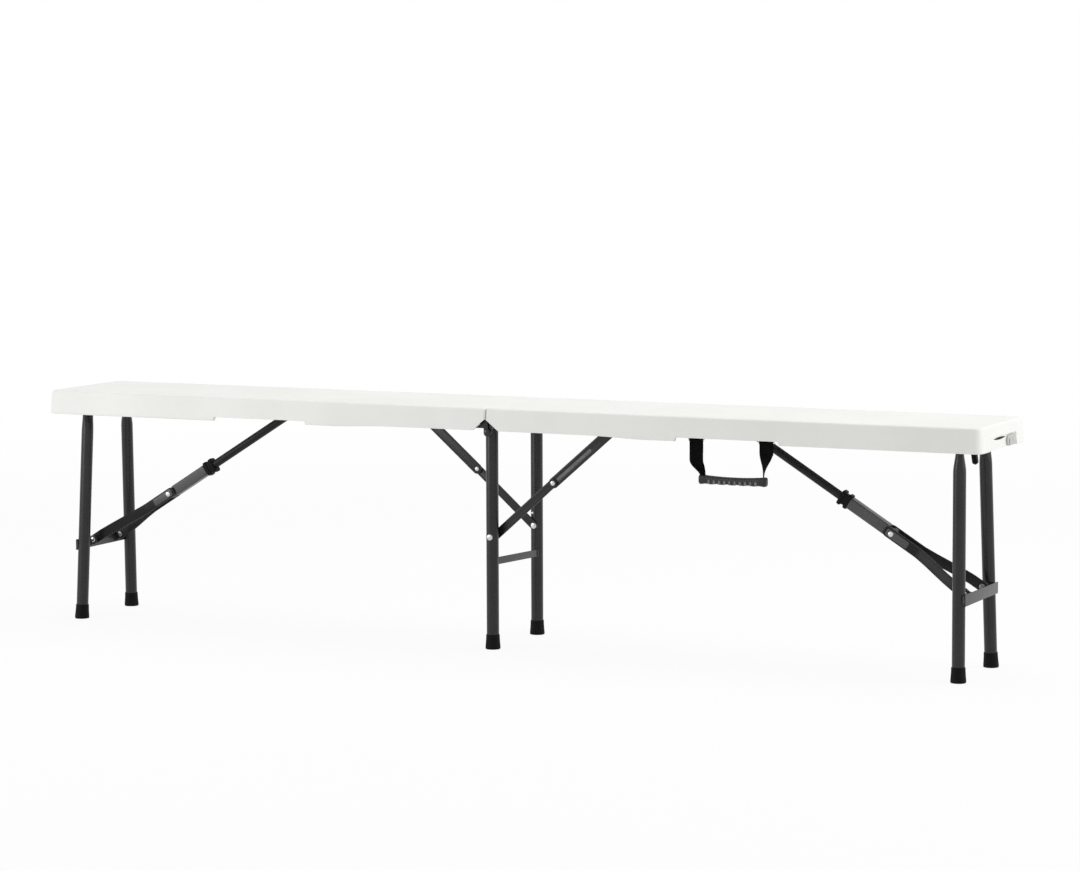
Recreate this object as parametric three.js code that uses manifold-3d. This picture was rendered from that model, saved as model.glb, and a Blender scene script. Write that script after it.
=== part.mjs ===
// Folding bench that folds in half: two moulded seat halves on steel rails, hinged over a centre
// leg frame, with a folding leg frame, a locking knee brace and a folding stay under each half.
// Millimetres. X runs along the bench, -Y is the front, +Z is up, and the floor is Z = 0.
import * as THREE from 'three';
import { mergeVertices } from 'three/addons/utils/BufferGeometryUtils.js';
import Module from 'manifold-3d';

const wasm = await Module();
wasm.setup();

// Driving sizes of the bench
const seatHeight = 430;
const halfLength = 910;
const seatWidth = 240;

// Seat shells
const shellDepth = 43;
const skirtWall = 8;
const panelThickness = 9;
const topEdgeRadius = 4.5;
const skirtDraft = 2.5;
const lipRadius = 1.2;
const farCornerRadius = 16;
const foldCornerRadius = 3;
const foldGap = 1.2;
const closedGap = 1.6;
const ceilingFillet = 1.2;
const lipNotchLead = 37;
const lipNotchTrail = 22.5;
const lipNotchHeight = 6.5;
const lipNotchSlope = 2;
const seamNotchHeight = 23;
const seamNotchReach = 27;
const dimpleRows = 3;
const dimpleColumns = 13;
const dimpleMargin = 42;
const dimpleRowPitch = 52;
const dimpleRadius = 9;
const dimpleFloorRadius = 5;
const dimpleDepth = 4.5;

// Latch recess in the end walls, and the latch that closes the folded halves together
const latchRecessHalfWidth = 72;
const latchRecessHeight = 22.5;
const latchRecessDepth = 4.5;
const latchPlate = 3;
const latchPivotY = 57;
const latchPivotRise = 10.5;
const latchHalfWidth = 9.6;
const latchOvershoot = 10;
const latchPinRadius = 2.5;
const latchHeadRadius = 4;
const latchHeadThickness = 0.6;

// Steel rails and the rods that cross them
const webThickness = 3;
const webSkirtGap = 8;
const webStagger = 3.6;
const webDepth = 26.7;
const flangeWidth = 12;
const flangeThickness = 2;
const railStart = 14;
const railEndGap = 13;
const hingeEyeRadius = 7;
const hingePinRadius = 4;
const hingeHeadRadius = 6.5;
const rodRadius = 5;
const rodHeadRadius = 6.5;
const rodHeadThickness = 0.9;

// Centre leg frame
const legRadius = 11;
const legWall = 1.5;
const centreLegInset = 13;
const centreLegTopRise = 6;
const centreBarDrop = 49;
const centreBarDepth = 13;
const centreBarThickness = 2.5;
const centreBarSkew = 2.5;
const capRadius = 12.1;
const capFootRadius = 13.4;
const capHeight = 26;
const capSole = 4;

// Outer leg frames
const legPivotInset = 55;
const legPivotDrop = 26;
const legFootLean = 8;
const legTopInset = 38;
const legFootInset = 17;
const pivotTubeRadius = 8;
const crossbarHeight = 138;
const crossbarDepth = 20;
const crossbarThickness = 2.6;
const crossbarOverhang = 13;
const lugThickness = 3;
const lugEyeRadius = 9;
const armStudRadius = 4;
const armStudHeadRadius = 6.5;
const armStudHeadThickness = 2;
const fingerThickness = 10;
const fingerWidth = 9;
const fingerReach = 47;
const fingerLean = 6;

// Knee brace between the seat and the outer leg's crossbar
const bracePivotReach = 411;
const bracePivotDrop = 2;
const armPivotLean = 4.5;
const armPivotRise = 6;
const armPivotInset = 41;
const braceRodRadius = 6;
const braceHubRadius = 9;
const braceHubHalfWidth = 12;
const elbowHubRadius = 8.5;
const elbowHubHalfWidth = 10;
const armHalfDepth = 9;
const armThickness = 3;
const armTipReach = 12;
const armStraight = 22;
const armRivetRadius = 6;
const armRivetHeight = 2;
const lockElbowGap = 15.9;
const lockLength = 76;
const lockHalfDepth = 10;
const lockHalfWidth = 9.8;
const lockCornerRadius = 3;
const collarLength = 20;
const collarHalfHeight = 13.5;
const collarHalfWidth = 9.8;
const collarCornerRadius = 5;

// Centre stays: a plain lower link on the leg and a slotted upper link on the seat
const stayHalfWidth = 6.5;
const upperStayHalfWidth = 8.2;
const stayThickness = 2.5;
const stayLegPivotDrop = 230;
const stayElbowX = 112.5;
const stayElbowDrop = 131;
const stayTopPivotX = 227.4;
const stayTopPivotDrop = 32;
const staySlotLength = 92;
const staySlotHalfWidth = 3.3;
const staySlotBack = 0.9;
const stayRivetRadius = 3;
const stayHeadRadius = 5.5;
const stayHeadHeight = 2;
const stayStudRadius = 3.5;
const stayBracketHalfWidth = 12;
const stayBracketThickness = 3;
const stayBracketFlange = 16;
const stayStopRise = 23;
const stayStopRadius = 3;
const stayStopHeight = 2.4;

// Carrying handle under the front lip of the right half
const handleRodGap = 44;
const handleSpan = 128.5;
const strapWidth = 25;
const strapFootWidth = 12;
const strapFootInset = 6;
const strapTurnShare = 0.72;
const strapThickness = 1.6;
const strapEyeWall = 1.4;
const strapTwistStart = 15;
const strapTwistEnd = 58;
const handleAxisDrop = 3.9;
const wireRadius = 1.2;
const wireLegRise = 11.4;
const gripDrop = 107;
const gripHalfDepth = 7.5;
const gripHalfWidth = 7.8;
const gripLength = 126.5;
const gripShift = 2.5;
const gripEdgeRadius = 3;
const gripSag = 3;
const gripFingers = 6;
const gripFingerDepth = 1;
const gripSocketDepth = 9;

// Clearances
const runningGap = 0.3;
const seatedGap = 0.3;
const weldGap = 0.3;
const linkGap = 0.6;
const pinGap = 0.15;
const boreGap = 0.3;
const cutOverrun = 5;

// Curve fineness
const cornerSteps = 6;
const edgeSteps = 3;
const roundSides = 18;
const smallSides = 12;
const dimpleSides = 8;
const halfTurn = Math.PI;
const quarterTurn = Math.PI / 2;

// Sizes worked out from the ones above
const lipHeight = seatHeight - shellDepth;
const ceilingHeight = seatHeight - panelThickness;
const hingeHeight = lipHeight - closedGap / 2;
const skirtInnerY = seatWidth / 2 - skirtWall;
const endWallInner = halfLength - skirtWall;
const webInnerFront = skirtInnerY - webSkirtGap;
const webInnerRear = webInnerFront + webStagger;
const webOuterFront = webInnerFront + webThickness;
const webOuterRear = webInnerRear + webThickness;
const railTop = ceilingHeight - seatedGap;
const railBottom = railTop - webDepth;
const railEnd = endWallInner - railEndGap;
const hingeHoleRadius = hingePinRadius + boreGap;
const rodHoleRadius = rodRadius + boreGap;
const centreLegY = webInnerFront - centreLegInset;
const outerPivotX = halfLength - legPivotInset;
const outerPivotHeight = seatHeight - legPivotDrop;
const outerFootX = outerPivotX + legFootLean;
const outerTopY = webInnerFront - legTopInset;
const outerFootY = webInnerFront - legFootInset;
const fingerBottom = outerPivotHeight - fingerReach;
const bracePivotX = outerPivotX - bracePivotReach;
const bracePivotHeight = outerPivotHeight - bracePivotDrop;
const armPivotX = outerPivotX + armPivotLean;
const armPivotHeight = crossbarHeight + armPivotRise;
const armPivotY = outerFootY - armPivotInset;
const stayLegPivotHeight = seatHeight - stayLegPivotDrop;
const stayElbowHeight = seatHeight - stayElbowDrop;
const stayTopPivotHeight = seatHeight - stayTopPivotDrop;
const centreBarHeight = stayLegPivotHeight - centreBarDrop;
const handleLeftX = bracePivotX - handleRodGap;
const handleRightX = handleLeftX + handleSpan;
const lipNotchStart = handleLeftX - lipNotchLead;
const lipNotchEnd = handleRightX + lipNotchTrail;
const gripHeight = seatHeight - gripDrop;
const gripLowX = (handleLeftX + handleRightX - gripLength) / 2 + gripShift;
const gripHighX = gripLowX + gripLength;
const stayOuterFace = centreLegY - legRadius - runningGap - pinGap;
const stayInnerFace = stayOuterFace - stayThickness;
const upperStayOuterFace = stayInnerFace - linkGap;
const upperStayInnerFace = upperStayOuterFace - stayThickness;
const braceAngle = Math.atan2(bracePivotHeight - armPivotHeight, armPivotX - bracePivotX);
const braceSpan = Math.hypot(armPivotX - bracePivotX, bracePivotHeight - armPivotHeight);
const legFold = Math.atan2(outerFootX - outerPivotX, outerPivotHeight) + Math.PI / 2;
const foldedArmPivot = turnedAbout(armPivotX - outerPivotX, armPivotHeight - outerPivotHeight, legFold);
const foldedSpan = Math.hypot(
  outerPivotX + foldedArmPivot.x - bracePivotX,
  outerPivotHeight + foldedArmPivot.z - bracePivotHeight,
);
const braceRodLength = (braceSpan + foldedSpan) / 2;
const armLength = (braceSpan - foldedSpan) / 2;
const lockStart = braceRodLength - lockElbowGap - lockLength;
const handleAxisHeight = lipHeight + lipNotchHeight - handleAxisDrop;
const handleAxisY = -(webOuterFront + runningGap + wireRadius);
const latchHeight = lipHeight + latchPivotRise;
const latchArm = 2 * (latchHeight - hingeHeight);

// Where a point beside a pivot goes when it turns about Y
function turnedAbout(x, z, angle) {
  return {
    x: x * Math.cos(angle) + z * Math.sin(angle),
    z: z * Math.cos(angle) - x * Math.sin(angle),
  };
}

// Materials
const shellWhite = new THREE.MeshStandardMaterial({ color: 0xf0f0ec, roughness: 0.55, metalness: 0 });
const frameSteel = new THREE.MeshStandardMaterial({ color: 0x3d3d42, roughness: 0.42, metalness: 0.35 });
const zincSteel = new THREE.MeshStandardMaterial({ color: 0xb9bcc0, roughness: 0.35, metalness: 0.9 });
const blackPlastic = new THREE.MeshStandardMaterial({ color: 0x161617, roughness: 0.6, metalness: 0 });
const blackWebbing = new THREE.MeshStandardMaterial({ color: 0x121213, roughness: 0.9, metalness: 0 });
const latchGrey = new THREE.MeshStandardMaterial({ color: 0xd6d7d4, roughness: 0.5, metalness: 0 });

// A closed geometry as a solid that can be joined and cut, its faces turned outwards
function solidOf(geometry) {
  const bare = geometry.clone();
  bare.deleteAttribute('normal');
  bare.deleteAttribute('uv');
  const merged = mergeVertices(bare);
  const places = merged.attributes.position.array;
  const corners = [];
  let volume = 0;
  for (let i = 0; i < merged.index.count; i += 3) {
    const [a, b, c] = [0, 1, 2].map((k) => merged.index.getX(i + k));
    if (a !== b && b !== c && c !== a) {
      const [p, q, r] = [a, b, c].map((k) => new THREE.Vector3().fromArray(places, 3 * k));
      volume += p.dot(q.cross(r));
      corners.push([a, b, c]);
    }
  }
  const turned = volume > 0 ? corners : corners.map(([a, b, c]) => [a, c, b]);
  return new wasm.Manifold(new wasm.Mesh({
    numProp: 3,
    vertProperties: new Float32Array(places),
    triVerts: new Uint32Array(turned.flat()),
  }));
}

// A solid as a geometry for a mesh
function geometryOf(solid) {
  const mesh = solid.getMesh();
  const geometry = new THREE.BufferGeometry();
  geometry.setAttribute('position', new THREE.BufferAttribute(mesh.vertProperties, 3));
  geometry.setIndex(new THREE.BufferAttribute(mesh.triVerts, 1));
  geometry.computeVertexNormals();
  return geometry;
}

// Cut every solid of a list out of one solid
function cutAway(solid, cutters) {
  return cutters.reduce((left, cutter) => left.subtract(cutter), solid);
}

// Join a list of solids that run into each other
function joined(solids) {
  return solids.reduce((whole, solid) => whole.add(solid));
}

function extruded(shape, depth, curveSegments = cornerSteps) {
  return new THREE.ExtrudeGeometry(shape, { depth, bevelEnabled: false, curveSegments });
}

// An outline drawn in X and Z, carried along Y from lowY to highY
function prismAlongY(shape, lowY, highY, curveSegments) {
  const geometry = extruded(shape, highY - lowY, curveSegments);
  geometry.rotateX(quarterTurn);
  geometry.translate(0, highY, 0);
  return solidOf(geometry);
}

// An outline drawn in Y and Z, carried along X from lowX to highX
function prismAlongX(shape, lowX, highX, curveSegments) {
  const geometry = extruded(shape, highX - lowX, curveSegments);
  geometry.applyMatrix4(new THREE.Matrix4().set(0, 0, 1, 0, 1, 0, 0, 0, 0, 1, 0, 0, 0, 0, 0, 1));
  geometry.translate(lowX, 0, 0);
  return solidOf(geometry);
}

// A block between two opposite corners
function block(low, high) {
  const size = high.map((value, k) => value - low[k]);
  const middle = high.map((value, k) => (value + low[k]) / 2);
  const geometry = new THREE.BoxGeometry(...size);
  geometry.translate(...middle);
  return solidOf(geometry);
}

// A round bar between two points, with another radius at its end where it tapers
function roundBar(start, end, radius, endRadius = radius, sides = roundSides) {
  const along = new THREE.Vector3().subVectors(end, start);
  const geometry = new THREE.CylinderGeometry(endRadius, radius, along.length(), sides);
  const turn = new THREE.Quaternion().setFromUnitVectors(
    new THREE.Vector3(0, 1, 0),
    along.clone().normalize(),
  );
  geometry.applyQuaternion(turn);
  const middle = new THREE.Vector3().addVectors(start, end).multiplyScalar(1 / 2);
  geometry.translate(middle.x, middle.y, middle.z);
  return solidOf(geometry);
}

// A round bar along Y at one X and Z
function barAlongY(x, z, radius, lowY, highY, sides) {
  return roundBar(new THREE.Vector3(x, lowY, z), new THREE.Vector3(x, highY, z), radius, radius, sides);
}

// A turned pin along Y, from a list of [radius, Y] steps
function turnedPin(x, z, steps, sides = smallSides) {
  const ends = [[0, steps[0][1]], ...steps, [0, steps.at(-1)[1]]];
  const geometry = new THREE.LatheGeometry(ends.map(([r, y]) => new THREE.Vector2(r, y)), sides);
  geometry.translate(x, 0, z);
  return solidOf(geometry);
}

// The outline of a flat link with round ends, from the eye at zero to the eye at length
function linkOutline(length, halfWidth, startReach = halfWidth, endReach = halfWidth) {
  const shape = new THREE.Shape();
  const start = halfWidth - startReach;
  const end = length + endReach - halfWidth;
  shape.moveTo(start, -halfWidth);
  shape.lineTo(end, -halfWidth);
  shape.absarc(end, 0, halfWidth, -quarterTurn, quarterTurn, false);
  shape.lineTo(start, halfWidth);
  shape.absarc(start, 0, halfWidth, quarterTurn, quarterTurn + halfTurn, false);
  return shape;
}

function roundHole(x, y, radius) {
  const path = new THREE.Path();
  path.absarc(x, y, radius, 0, 2 * halfTurn, true);
  return path;
}

// A rounded rectangle about a middle point
function roundedBox(middleX, middleY, halfX, halfY, radius) {
  const shape = new THREE.Shape();
  const [left, right] = [middleX - halfX + radius, middleX + halfX - radius];
  const [low, high] = [middleY - halfY + radius, middleY + halfY - radius];
  shape.absarc(right, low, radius, -quarterTurn, 0, false);
  shape.absarc(right, high, radius, 0, quarterTurn, false);
  shape.absarc(left, high, radius, quarterTurn, halfTurn, false);
  shape.absarc(left, low, radius, halfTurn, halfTurn + quarterTurn, false);
  return shape;
}

// A solid through a stack of loops that have the same number of points. Each loop side named in
// crossed has its faces split along the other diagonal.
function loft(loops, crossed = []) {
  const count = loops[0].length;
  const places = loops.flat().flatMap((point) => [point.x, point.y, point.z]);
  const index = [];
  for (let level = 0; level + 1 < loops.length; level += 1) {
    for (let i = 0; i < count; i += 1) {
      const j = (i + 1) % count;
      const [a, b] = [level * count + i, level * count + j];
      if (crossed.includes(i)) {
        index.push(a, b, a + count, b, b + count, a + count);
      } else {
        index.push(a, b, b + count, a, b + count, a + count);
      }
    }
  }
  const top = (loops.length - 1) * count;
  for (let i = 1; i + 1 < count; i += 1) {
    index.push(0, i + 1, i);
    index.push(top, top + i, top + i + 1);
  }
  const geometry = new THREE.BufferGeometry();
  geometry.setAttribute('position', new THREE.Float32BufferAttribute(places, 3));
  geometry.setIndex(index);
  return solidOf(geometry);
}

// A level loop with round corners, tighter at the fold than at the far end
function seatLoop(lowX, highX, halfY, foldRadius, farRadius, height) {
  const corners = [
    [highX - farRadius, -halfY + farRadius, farRadius, -quarterTurn],
    [highX - farRadius, halfY - farRadius, farRadius, 0],
    [lowX + foldRadius, halfY - foldRadius, foldRadius, quarterTurn],
    [lowX + foldRadius, -halfY + foldRadius, foldRadius, halfTurn],
  ];
  const points = [];
  for (const [x, y, radius, start] of corners) {
    for (let step = 0; step <= cornerSteps; step += 1) {
      const angle = start + quarterTurn * step / cornerSteps;
      points.push(new THREE.Vector3(x + radius * Math.cos(angle), y + radius * Math.sin(angle), height));
    }
  }
  return points;
}

// The outside of a seat half: a small lip radius, a drafted skirt and a rounded top edge
function shellOutside() {
  const levels = [[lipRadius, lipRadius / 2, lipHeight], [0, 0, lipHeight + lipRadius]];
  for (let step = 0; step <= edgeSteps; step += 1) {
    const angle = quarterTurn * step / edgeSteps;
    const inset = topEdgeRadius * (1 - Math.cos(angle));
    levels.push([skirtDraft + inset, inset / 2, seatHeight - topEdgeRadius * (1 - Math.sin(angle))]);
  }
  return loft(levels.map(([inset, foldInset, height]) => seatLoop(
    foldGap / 2 + foldInset,
    halfLength - inset,
    seatWidth / 2 - inset,
    foldCornerRadius,
    farCornerRadius - inset,
    height,
  )));
}

// The hollow under a seat half, with a fillet round its ceiling
function shellHollow() {
  const levels = [[0, lipHeight - cutOverrun]];
  for (let step = 0; step <= edgeSteps; step += 1) {
    const angle = quarterTurn * step / edgeSteps;
    const inset = ceilingFillet * (1 - Math.cos(angle));
    levels.push([inset, ceilingHeight - ceilingFillet * (1 - Math.sin(angle))]);
  }
  const innerCorner = farCornerRadius - skirtWall + ceilingFillet;
  return loft(levels.map(([inset, height]) => seatLoop(
    foldGap / 2 + skirtWall + inset,
    endWallInner - inset,
    skirtInnerY - inset,
    foldCornerRadius + ceilingFillet - inset,
    innerCorner - inset,
    height,
  )));
}

// The shallow lip notch on both long sides, through which the handle swings out
function lipNotch() {
  const shape = new THREE.Shape();
  shape.moveTo(lipNotchStart - lipNotchSlope, lipHeight - cutOverrun);
  shape.lineTo(lipNotchEnd + lipNotchSlope, lipHeight - cutOverrun);
  shape.lineTo(lipNotchEnd, lipHeight + lipNotchHeight);
  shape.lineTo(lipNotchStart, lipHeight + lipNotchHeight);
  return prismAlongY(shape, -seatWidth, seatWidth);
}

// The slanted notch that clears the hinge at the fold line
function seamNotch() {
  const shape = new THREE.Shape();
  shape.moveTo(-cutOverrun, lipHeight + seamNotchHeight);
  shape.lineTo(foldGap, lipHeight + seamNotchHeight);
  shape.lineTo(seamNotchReach, lipHeight);
  shape.lineTo(seamNotchReach, lipHeight - cutOverrun);
  shape.lineTo(-cutOverrun, lipHeight - cutOverrun);
  const betweenSkirts = block(
    [-cutOverrun, -skirtInnerY, lipHeight - cutOverrun],
    [foldGap / 2 + skirtWall + cutOverrun, skirtInnerY, lipHeight + seamNotchHeight],
  );
  return prismAlongY(shape, -seatWidth, seatWidth).add(betweenSkirts);
}

// Round tack-off dimples in the underside of the seat panel, in rows along the half
function shellDimples() {
  const dimples = [];
  const run = halfLength - 2 * dimpleMargin;
  for (let column = 0; column < dimpleColumns; column += 1) {
    for (let row = 0; row < dimpleRows; row += 1) {
      const x = dimpleMargin + run * column / (dimpleColumns - 1);
      const y = (row - (dimpleRows - 1) / 2) * dimpleRowPitch;
      dimples.push(roundBar(
        new THREE.Vector3(x, y, ceilingHeight - cutOverrun),
        new THREE.Vector3(x, y, ceilingHeight),
        dimpleRadius,
        dimpleRadius,
        dimpleSides,
      ));
      dimples.push(roundBar(
        new THREE.Vector3(x, y, ceilingHeight - pinGap),
        new THREE.Vector3(x, y, ceilingHeight + dimpleDepth),
        dimpleRadius,
        dimpleFloorRadius,
        dimpleSides,
      ));
    }
  }
  return dimples;
}

// The recess in the end wall that the latch lies in, with a socket for a pin on each side
function latchRecess() {
  const floor = halfLength - latchRecessDepth;
  const shape = new THREE.Shape();
  const slope = latchRecessDepth;
  shape.moveTo(-latchRecessHalfWidth, lipHeight - cutOverrun);
  shape.lineTo(latchRecessHalfWidth, lipHeight - cutOverrun);
  shape.lineTo(latchRecessHalfWidth, lipHeight + latchRecessHeight - slope);
  shape.lineTo(latchRecessHalfWidth - slope, lipHeight + latchRecessHeight);
  shape.lineTo(slope - latchRecessHalfWidth, lipHeight + latchRecessHeight);
  shape.lineTo(-latchRecessHalfWidth, lipHeight + latchRecessHeight - slope);
  const pocket = prismAlongX(shape, floor, halfLength + cutOverrun);
  const sockets = [-1, 1].map((side) => roundBar(
    new THREE.Vector3(endWallInner - cutOverrun, side * latchPivotY, latchHeight),
    new THREE.Vector3(halfLength, side * latchPivotY, latchHeight),
    latchPinRadius + boreGap,
    latchPinRadius + boreGap,
    smallSides,
  ));
  return [pocket, ...sockets];
}

function seatShell() {
  return cutAway(shellOutside(), [
    shellHollow(),
    ...shellDimples(),
    lipNotch(),
    seamNotch(),
    ...latchRecess(),
  ]);
}

// A seat rail: an upright web that fills the seam notch and ends in a hinge ear at the fold, and a
// flange under the seat panel
function rail(webInner, side) {
  const shape = new THREE.Shape();
  const slope = Math.SQRT1_2 * hingeEyeRadius;
  const earFoot = slope + (railBottom - hingeHeight + slope);
  const notchTop = lipHeight + seamNotchHeight - seatedGap;
  const earStart = Math.acos(foldGap / hingeEyeRadius);
  shape.moveTo(railEnd, railBottom);
  shape.lineTo(railEnd, railTop);
  shape.lineTo(railStart, railTop);
  shape.lineTo(railStart, notchTop);
  shape.lineTo(foldGap, notchTop);
  shape.absarc(0, hingeHeight, hingeEyeRadius, earStart, 7 * quarterTurn / 2, false);
  shape.lineTo(earFoot, railBottom);
  shape.holes.push(roundHole(0, hingeHeight, hingeHoleRadius));
  shape.holes.push(roundHole(outerPivotX, outerPivotHeight, rodHoleRadius));
  shape.holes.push(roundHole(bracePivotX, bracePivotHeight, rodHoleRadius));
  const webFaces = [side * webInner, side * (webInner + webThickness)].sort((a, b) => a - b);
  const flangeFaces = [side * (webInner - flangeWidth), side * (webInner + pinGap)].sort((a, b) => a - b);
  const web = prismAlongY(shape, webFaces[0], webFaces[1]);
  const flange = block(
    [railStart, flangeFaces[0], railTop - flangeThickness],
    [railEnd, flangeFaces[1], railTop],
  );
  return web.add(flange);
}

// A rod across both rails, with a riveted head outside each web
function crossRod(x, z) {
  const front = -webOuterFront - pinGap;
  const rear = webOuterRear + pinGap;
  return turnedPin(x, z, [
    [rodHeadRadius, front - rodHeadThickness],
    [rodHeadRadius, front],
    [rodRadius, front],
    [rodRadius, rear],
    [rodHeadRadius, rear],
    [rodHeadRadius, rear + rodHeadThickness],
  ]);
}

// The bracket that hangs the slotted stay link from the seat panel
function stayBracket() {
  const face = -upperStayInnerFace + runningGap;
  const shape = new THREE.Shape();
  shape.moveTo(stayTopPivotX - stayBracketHalfWidth, railTop);
  shape.absarc(stayTopPivotX, stayTopPivotHeight, upperStayHalfWidth, halfTurn, 2 * halfTurn, false);
  shape.lineTo(stayTopPivotX + stayBracketHalfWidth, railTop);
  const plate = prismAlongY(shape, face, face + stayBracketThickness);
  const flange = block(
    [stayTopPivotX - stayBracketHalfWidth, face, railTop - stayBracketThickness],
    [stayTopPivotX + stayBracketHalfWidth, face + stayBracketFlange, railTop],
  );
  const stud = barAlongY(
    stayTopPivotX,
    stayTopPivotHeight,
    stayStudRadius,
    -upperStayOuterFace,
    face + pinGap,
    smallSides,
  );
  return joined([plate, flange, stud]);
}

// A hollow leg tube between two points
function legTube(bottom, top) {
  const reach = new THREE.Vector3().subVectors(top, bottom).setLength(cutOverrun);
  const bore = roundBar(bottom.clone().sub(reach), top.clone().add(reach), legRadius - legWall);
  return roundBar(bottom, top, legRadius).subtract(bore);
}

// A foot cap round the lower end of a leg whose axis passes through two points, flat at the floor
function footCap(bottom, top) {
  const along = new THREE.Vector3().subVectors(top, bottom).normalize();
  const at = (distance) => bottom.clone().addScaledVector(along, distance);
  const body = roundBar(at(-cutOverrun), at(capHeight), capFootRadius, capRadius);
  const socket = roundBar(at(capSole), at(capHeight + cutOverrun), legRadius + seatedGap);
  const reach = 2 * (outerFootX + capFootRadius);
  const underFloor = block([-reach, -reach, -reach], [reach, reach, 0]);
  return cutAway(body, [socket, underFloor]);
}

// A centre leg, with holes for the hinge pin and the stay's rivet, and a stop stud for the stay
function centreLeg(side) {
  const bottom = new THREE.Vector3(0, side * centreLegY, capSole + seatedGap);
  const top = new THREE.Vector3(0, side * centreLegY, hingeHeight + centreLegTopRise);
  const tube = legTube(bottom, top);
  const stopFoot = side * (centreLegY - legRadius + legWall / 2);
  const stopFace = side * (centreLegY - legRadius - stayStopHeight);
  const stopHeight = stayLegPivotHeight + stayStopRise;
  const [low, high] = [stopFoot, stopFace].sort((a, b) => a - b);
  const stop = barAlongY(0, stopHeight, stayStopRadius, low, high, smallSides);
  return cutAway(tube.add(stop), [
    barAlongY(0, hingeHeight, hingeHoleRadius, -seatWidth, seatWidth, smallSides),
    barAlongY(0, stayLegPivotHeight, stayRivetRadius + boreGap, -seatWidth, seatWidth, smallSides),
  ]);
}

// The flat bar between the centre legs, set slightly askew so that each stay folds past it
function centreBar() {
  const reach = centreLegY - legRadius - weldGap;
  const skew = centreBarSkew;
  const half = centreBarThickness / 2;
  const shape = new THREE.Shape();
  shape.moveTo(-skew - half, -reach);
  shape.lineTo(-skew + half, -reach);
  shape.lineTo(skew + half, reach);
  shape.lineTo(skew - half, reach);
  const geometry = extruded(shape, centreBarDepth);
  geometry.translate(0, 0, centreBarHeight - centreBarDepth / 2);
  return solidOf(geometry);
}

// A hinge pin through both rail ears and the top of a centre leg, with a head at each end
function hingePin() {
  const outer = -webOuterRear - runningGap;
  const inner = -centreLegY + legRadius + pinGap;
  return turnedPin(0, hingeHeight, [
    [hingeHeadRadius, outer - stayHeadHeight],
    [hingeHeadRadius, outer],
    [hingePinRadius, outer],
    [hingePinRadius, inner],
    [hingeHeadRadius, inner],
    [hingeHeadRadius, inner + stayHeadHeight],
  ]);
}

// The rivet that holds a lower stay link on the inner side of a centre leg
function stayLegRivet() {
  const outer = -centreLegY - legRadius - pinGap;
  const inner = -stayInnerFace + pinGap;
  return turnedPin(0, stayLegPivotHeight, [
    [stayHeadRadius - stayHeadHeight, outer - stayHeadHeight],
    [stayHeadRadius, outer - stayHeadHeight / 2],
    [stayHeadRadius, outer],
    [stayRivetRadius, outer],
    [stayRivetRadius, inner],
    [stayHeadRadius, inner],
    [stayHeadRadius, inner + stayHeadHeight],
  ]);
}

// A point on the axis of an outer leg at a height above the floor
function outerLegPoint(side, height) {
  const share = 1 - height / outerPivotHeight;
  return new THREE.Vector3(
    outerPivotX + (outerFootX - outerPivotX) * share,
    side * (outerTopY + (outerFootY - outerTopY) * share),
    height,
  );
}

// An outer leg tube, coped at its top to the tube that it turns with
function outerLeg(side) {
  const tube = legTube(outerLegPoint(side, capSole + seatedGap), outerLegPoint(side, outerPivotHeight));
  const cope = barAlongY(
    outerPivotX,
    outerPivotHeight,
    pivotTubeRadius + weldGap,
    -seatWidth,
    seatWidth,
  );
  return tube.subtract(cope);
}

// The tube that turns on the leg's rod, with a short finger under its middle at the latch end
function pivotTube(fingered) {
  const low = -webInnerFront + runningGap;
  const high = webInnerRear - runningGap;
  const tube = barAlongY(outerPivotX, outerPivotHeight, pivotTubeRadius, low, high);
  const shape = new THREE.Shape();
  const half = fingerWidth / 2;
  shape.moveTo(outerPivotX - half, outerPivotHeight);
  shape.lineTo(outerPivotX + fingerLean - half, fingerBottom + half);
  shape.lineTo(outerPivotX + fingerLean, fingerBottom);
  shape.lineTo(outerPivotX + fingerLean + half, fingerBottom + half);
  shape.lineTo(outerPivotX + half, outerPivotHeight);
  const finger = prismAlongY(shape, -fingerThickness / 2, fingerThickness / 2);
  const bore = barAlongY(outerPivotX, outerPivotHeight, rodRadius + runningGap, -seatWidth, seatWidth);
  return (fingered ? tube.add(finger) : tube).subtract(bore);
}

// The flat bar outside the outer legs, with a lug and a headed stud for each brace arm
function legCrossbar() {
  const inner = outerLegPoint(1, crossbarHeight - crossbarDepth / 2).x + legRadius + weldGap;
  const reach = outerLegPoint(1, crossbarHeight).y + crossbarOverhang;
  const strip = block(
    [inner, -reach, crossbarHeight - crossbarDepth / 2],
    [inner + crossbarThickness, reach, crossbarHeight + crossbarDepth / 2],
  );
  const pieces = [strip];
  for (const side of [-1, 1]) {
    const armFace = armPivotY + armThickness / 2;
    const lugFaces = [armFace + linkGap, armFace + linkGap + lugThickness].map((y) => side * y);
    const [low, high] = lugFaces.sort((a, b) => a - b);
    const shape = new THREE.Shape();
    shape.absarc(armPivotX, armPivotHeight, lugEyeRadius, quarterTurn, 3 * quarterTurn, false);
    shape.lineTo(inner + crossbarThickness / 2, crossbarHeight - crossbarDepth / 2 + weldGap);
    shape.lineTo(inner + crossbarThickness / 2, crossbarHeight + crossbarDepth / 2 - weldGap);
    const lug = prismAlongY(shape, low, high);
    const studEnd = armPivotY - armThickness / 2 - linkGap;
    const stud = [side * studEnd, side * (armFace + linkGap + pinGap)].sort((a, b) => a - b);
    const headEnd = studEnd - armStudHeadThickness;
    const head = [side * headEnd, side * (studEnd + pinGap)].sort((a, b) => a - b);
    pieces.push(lug);
    pieces.push(barAlongY(armPivotX, armPivotHeight, armStudRadius, stud[0], stud[1], smallSides));
    pieces.push(barAlongY(armPivotX, armPivotHeight, armStudHeadRadius, head[0], head[1], smallSides));
  }
  return joined(pieces);
}

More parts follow.
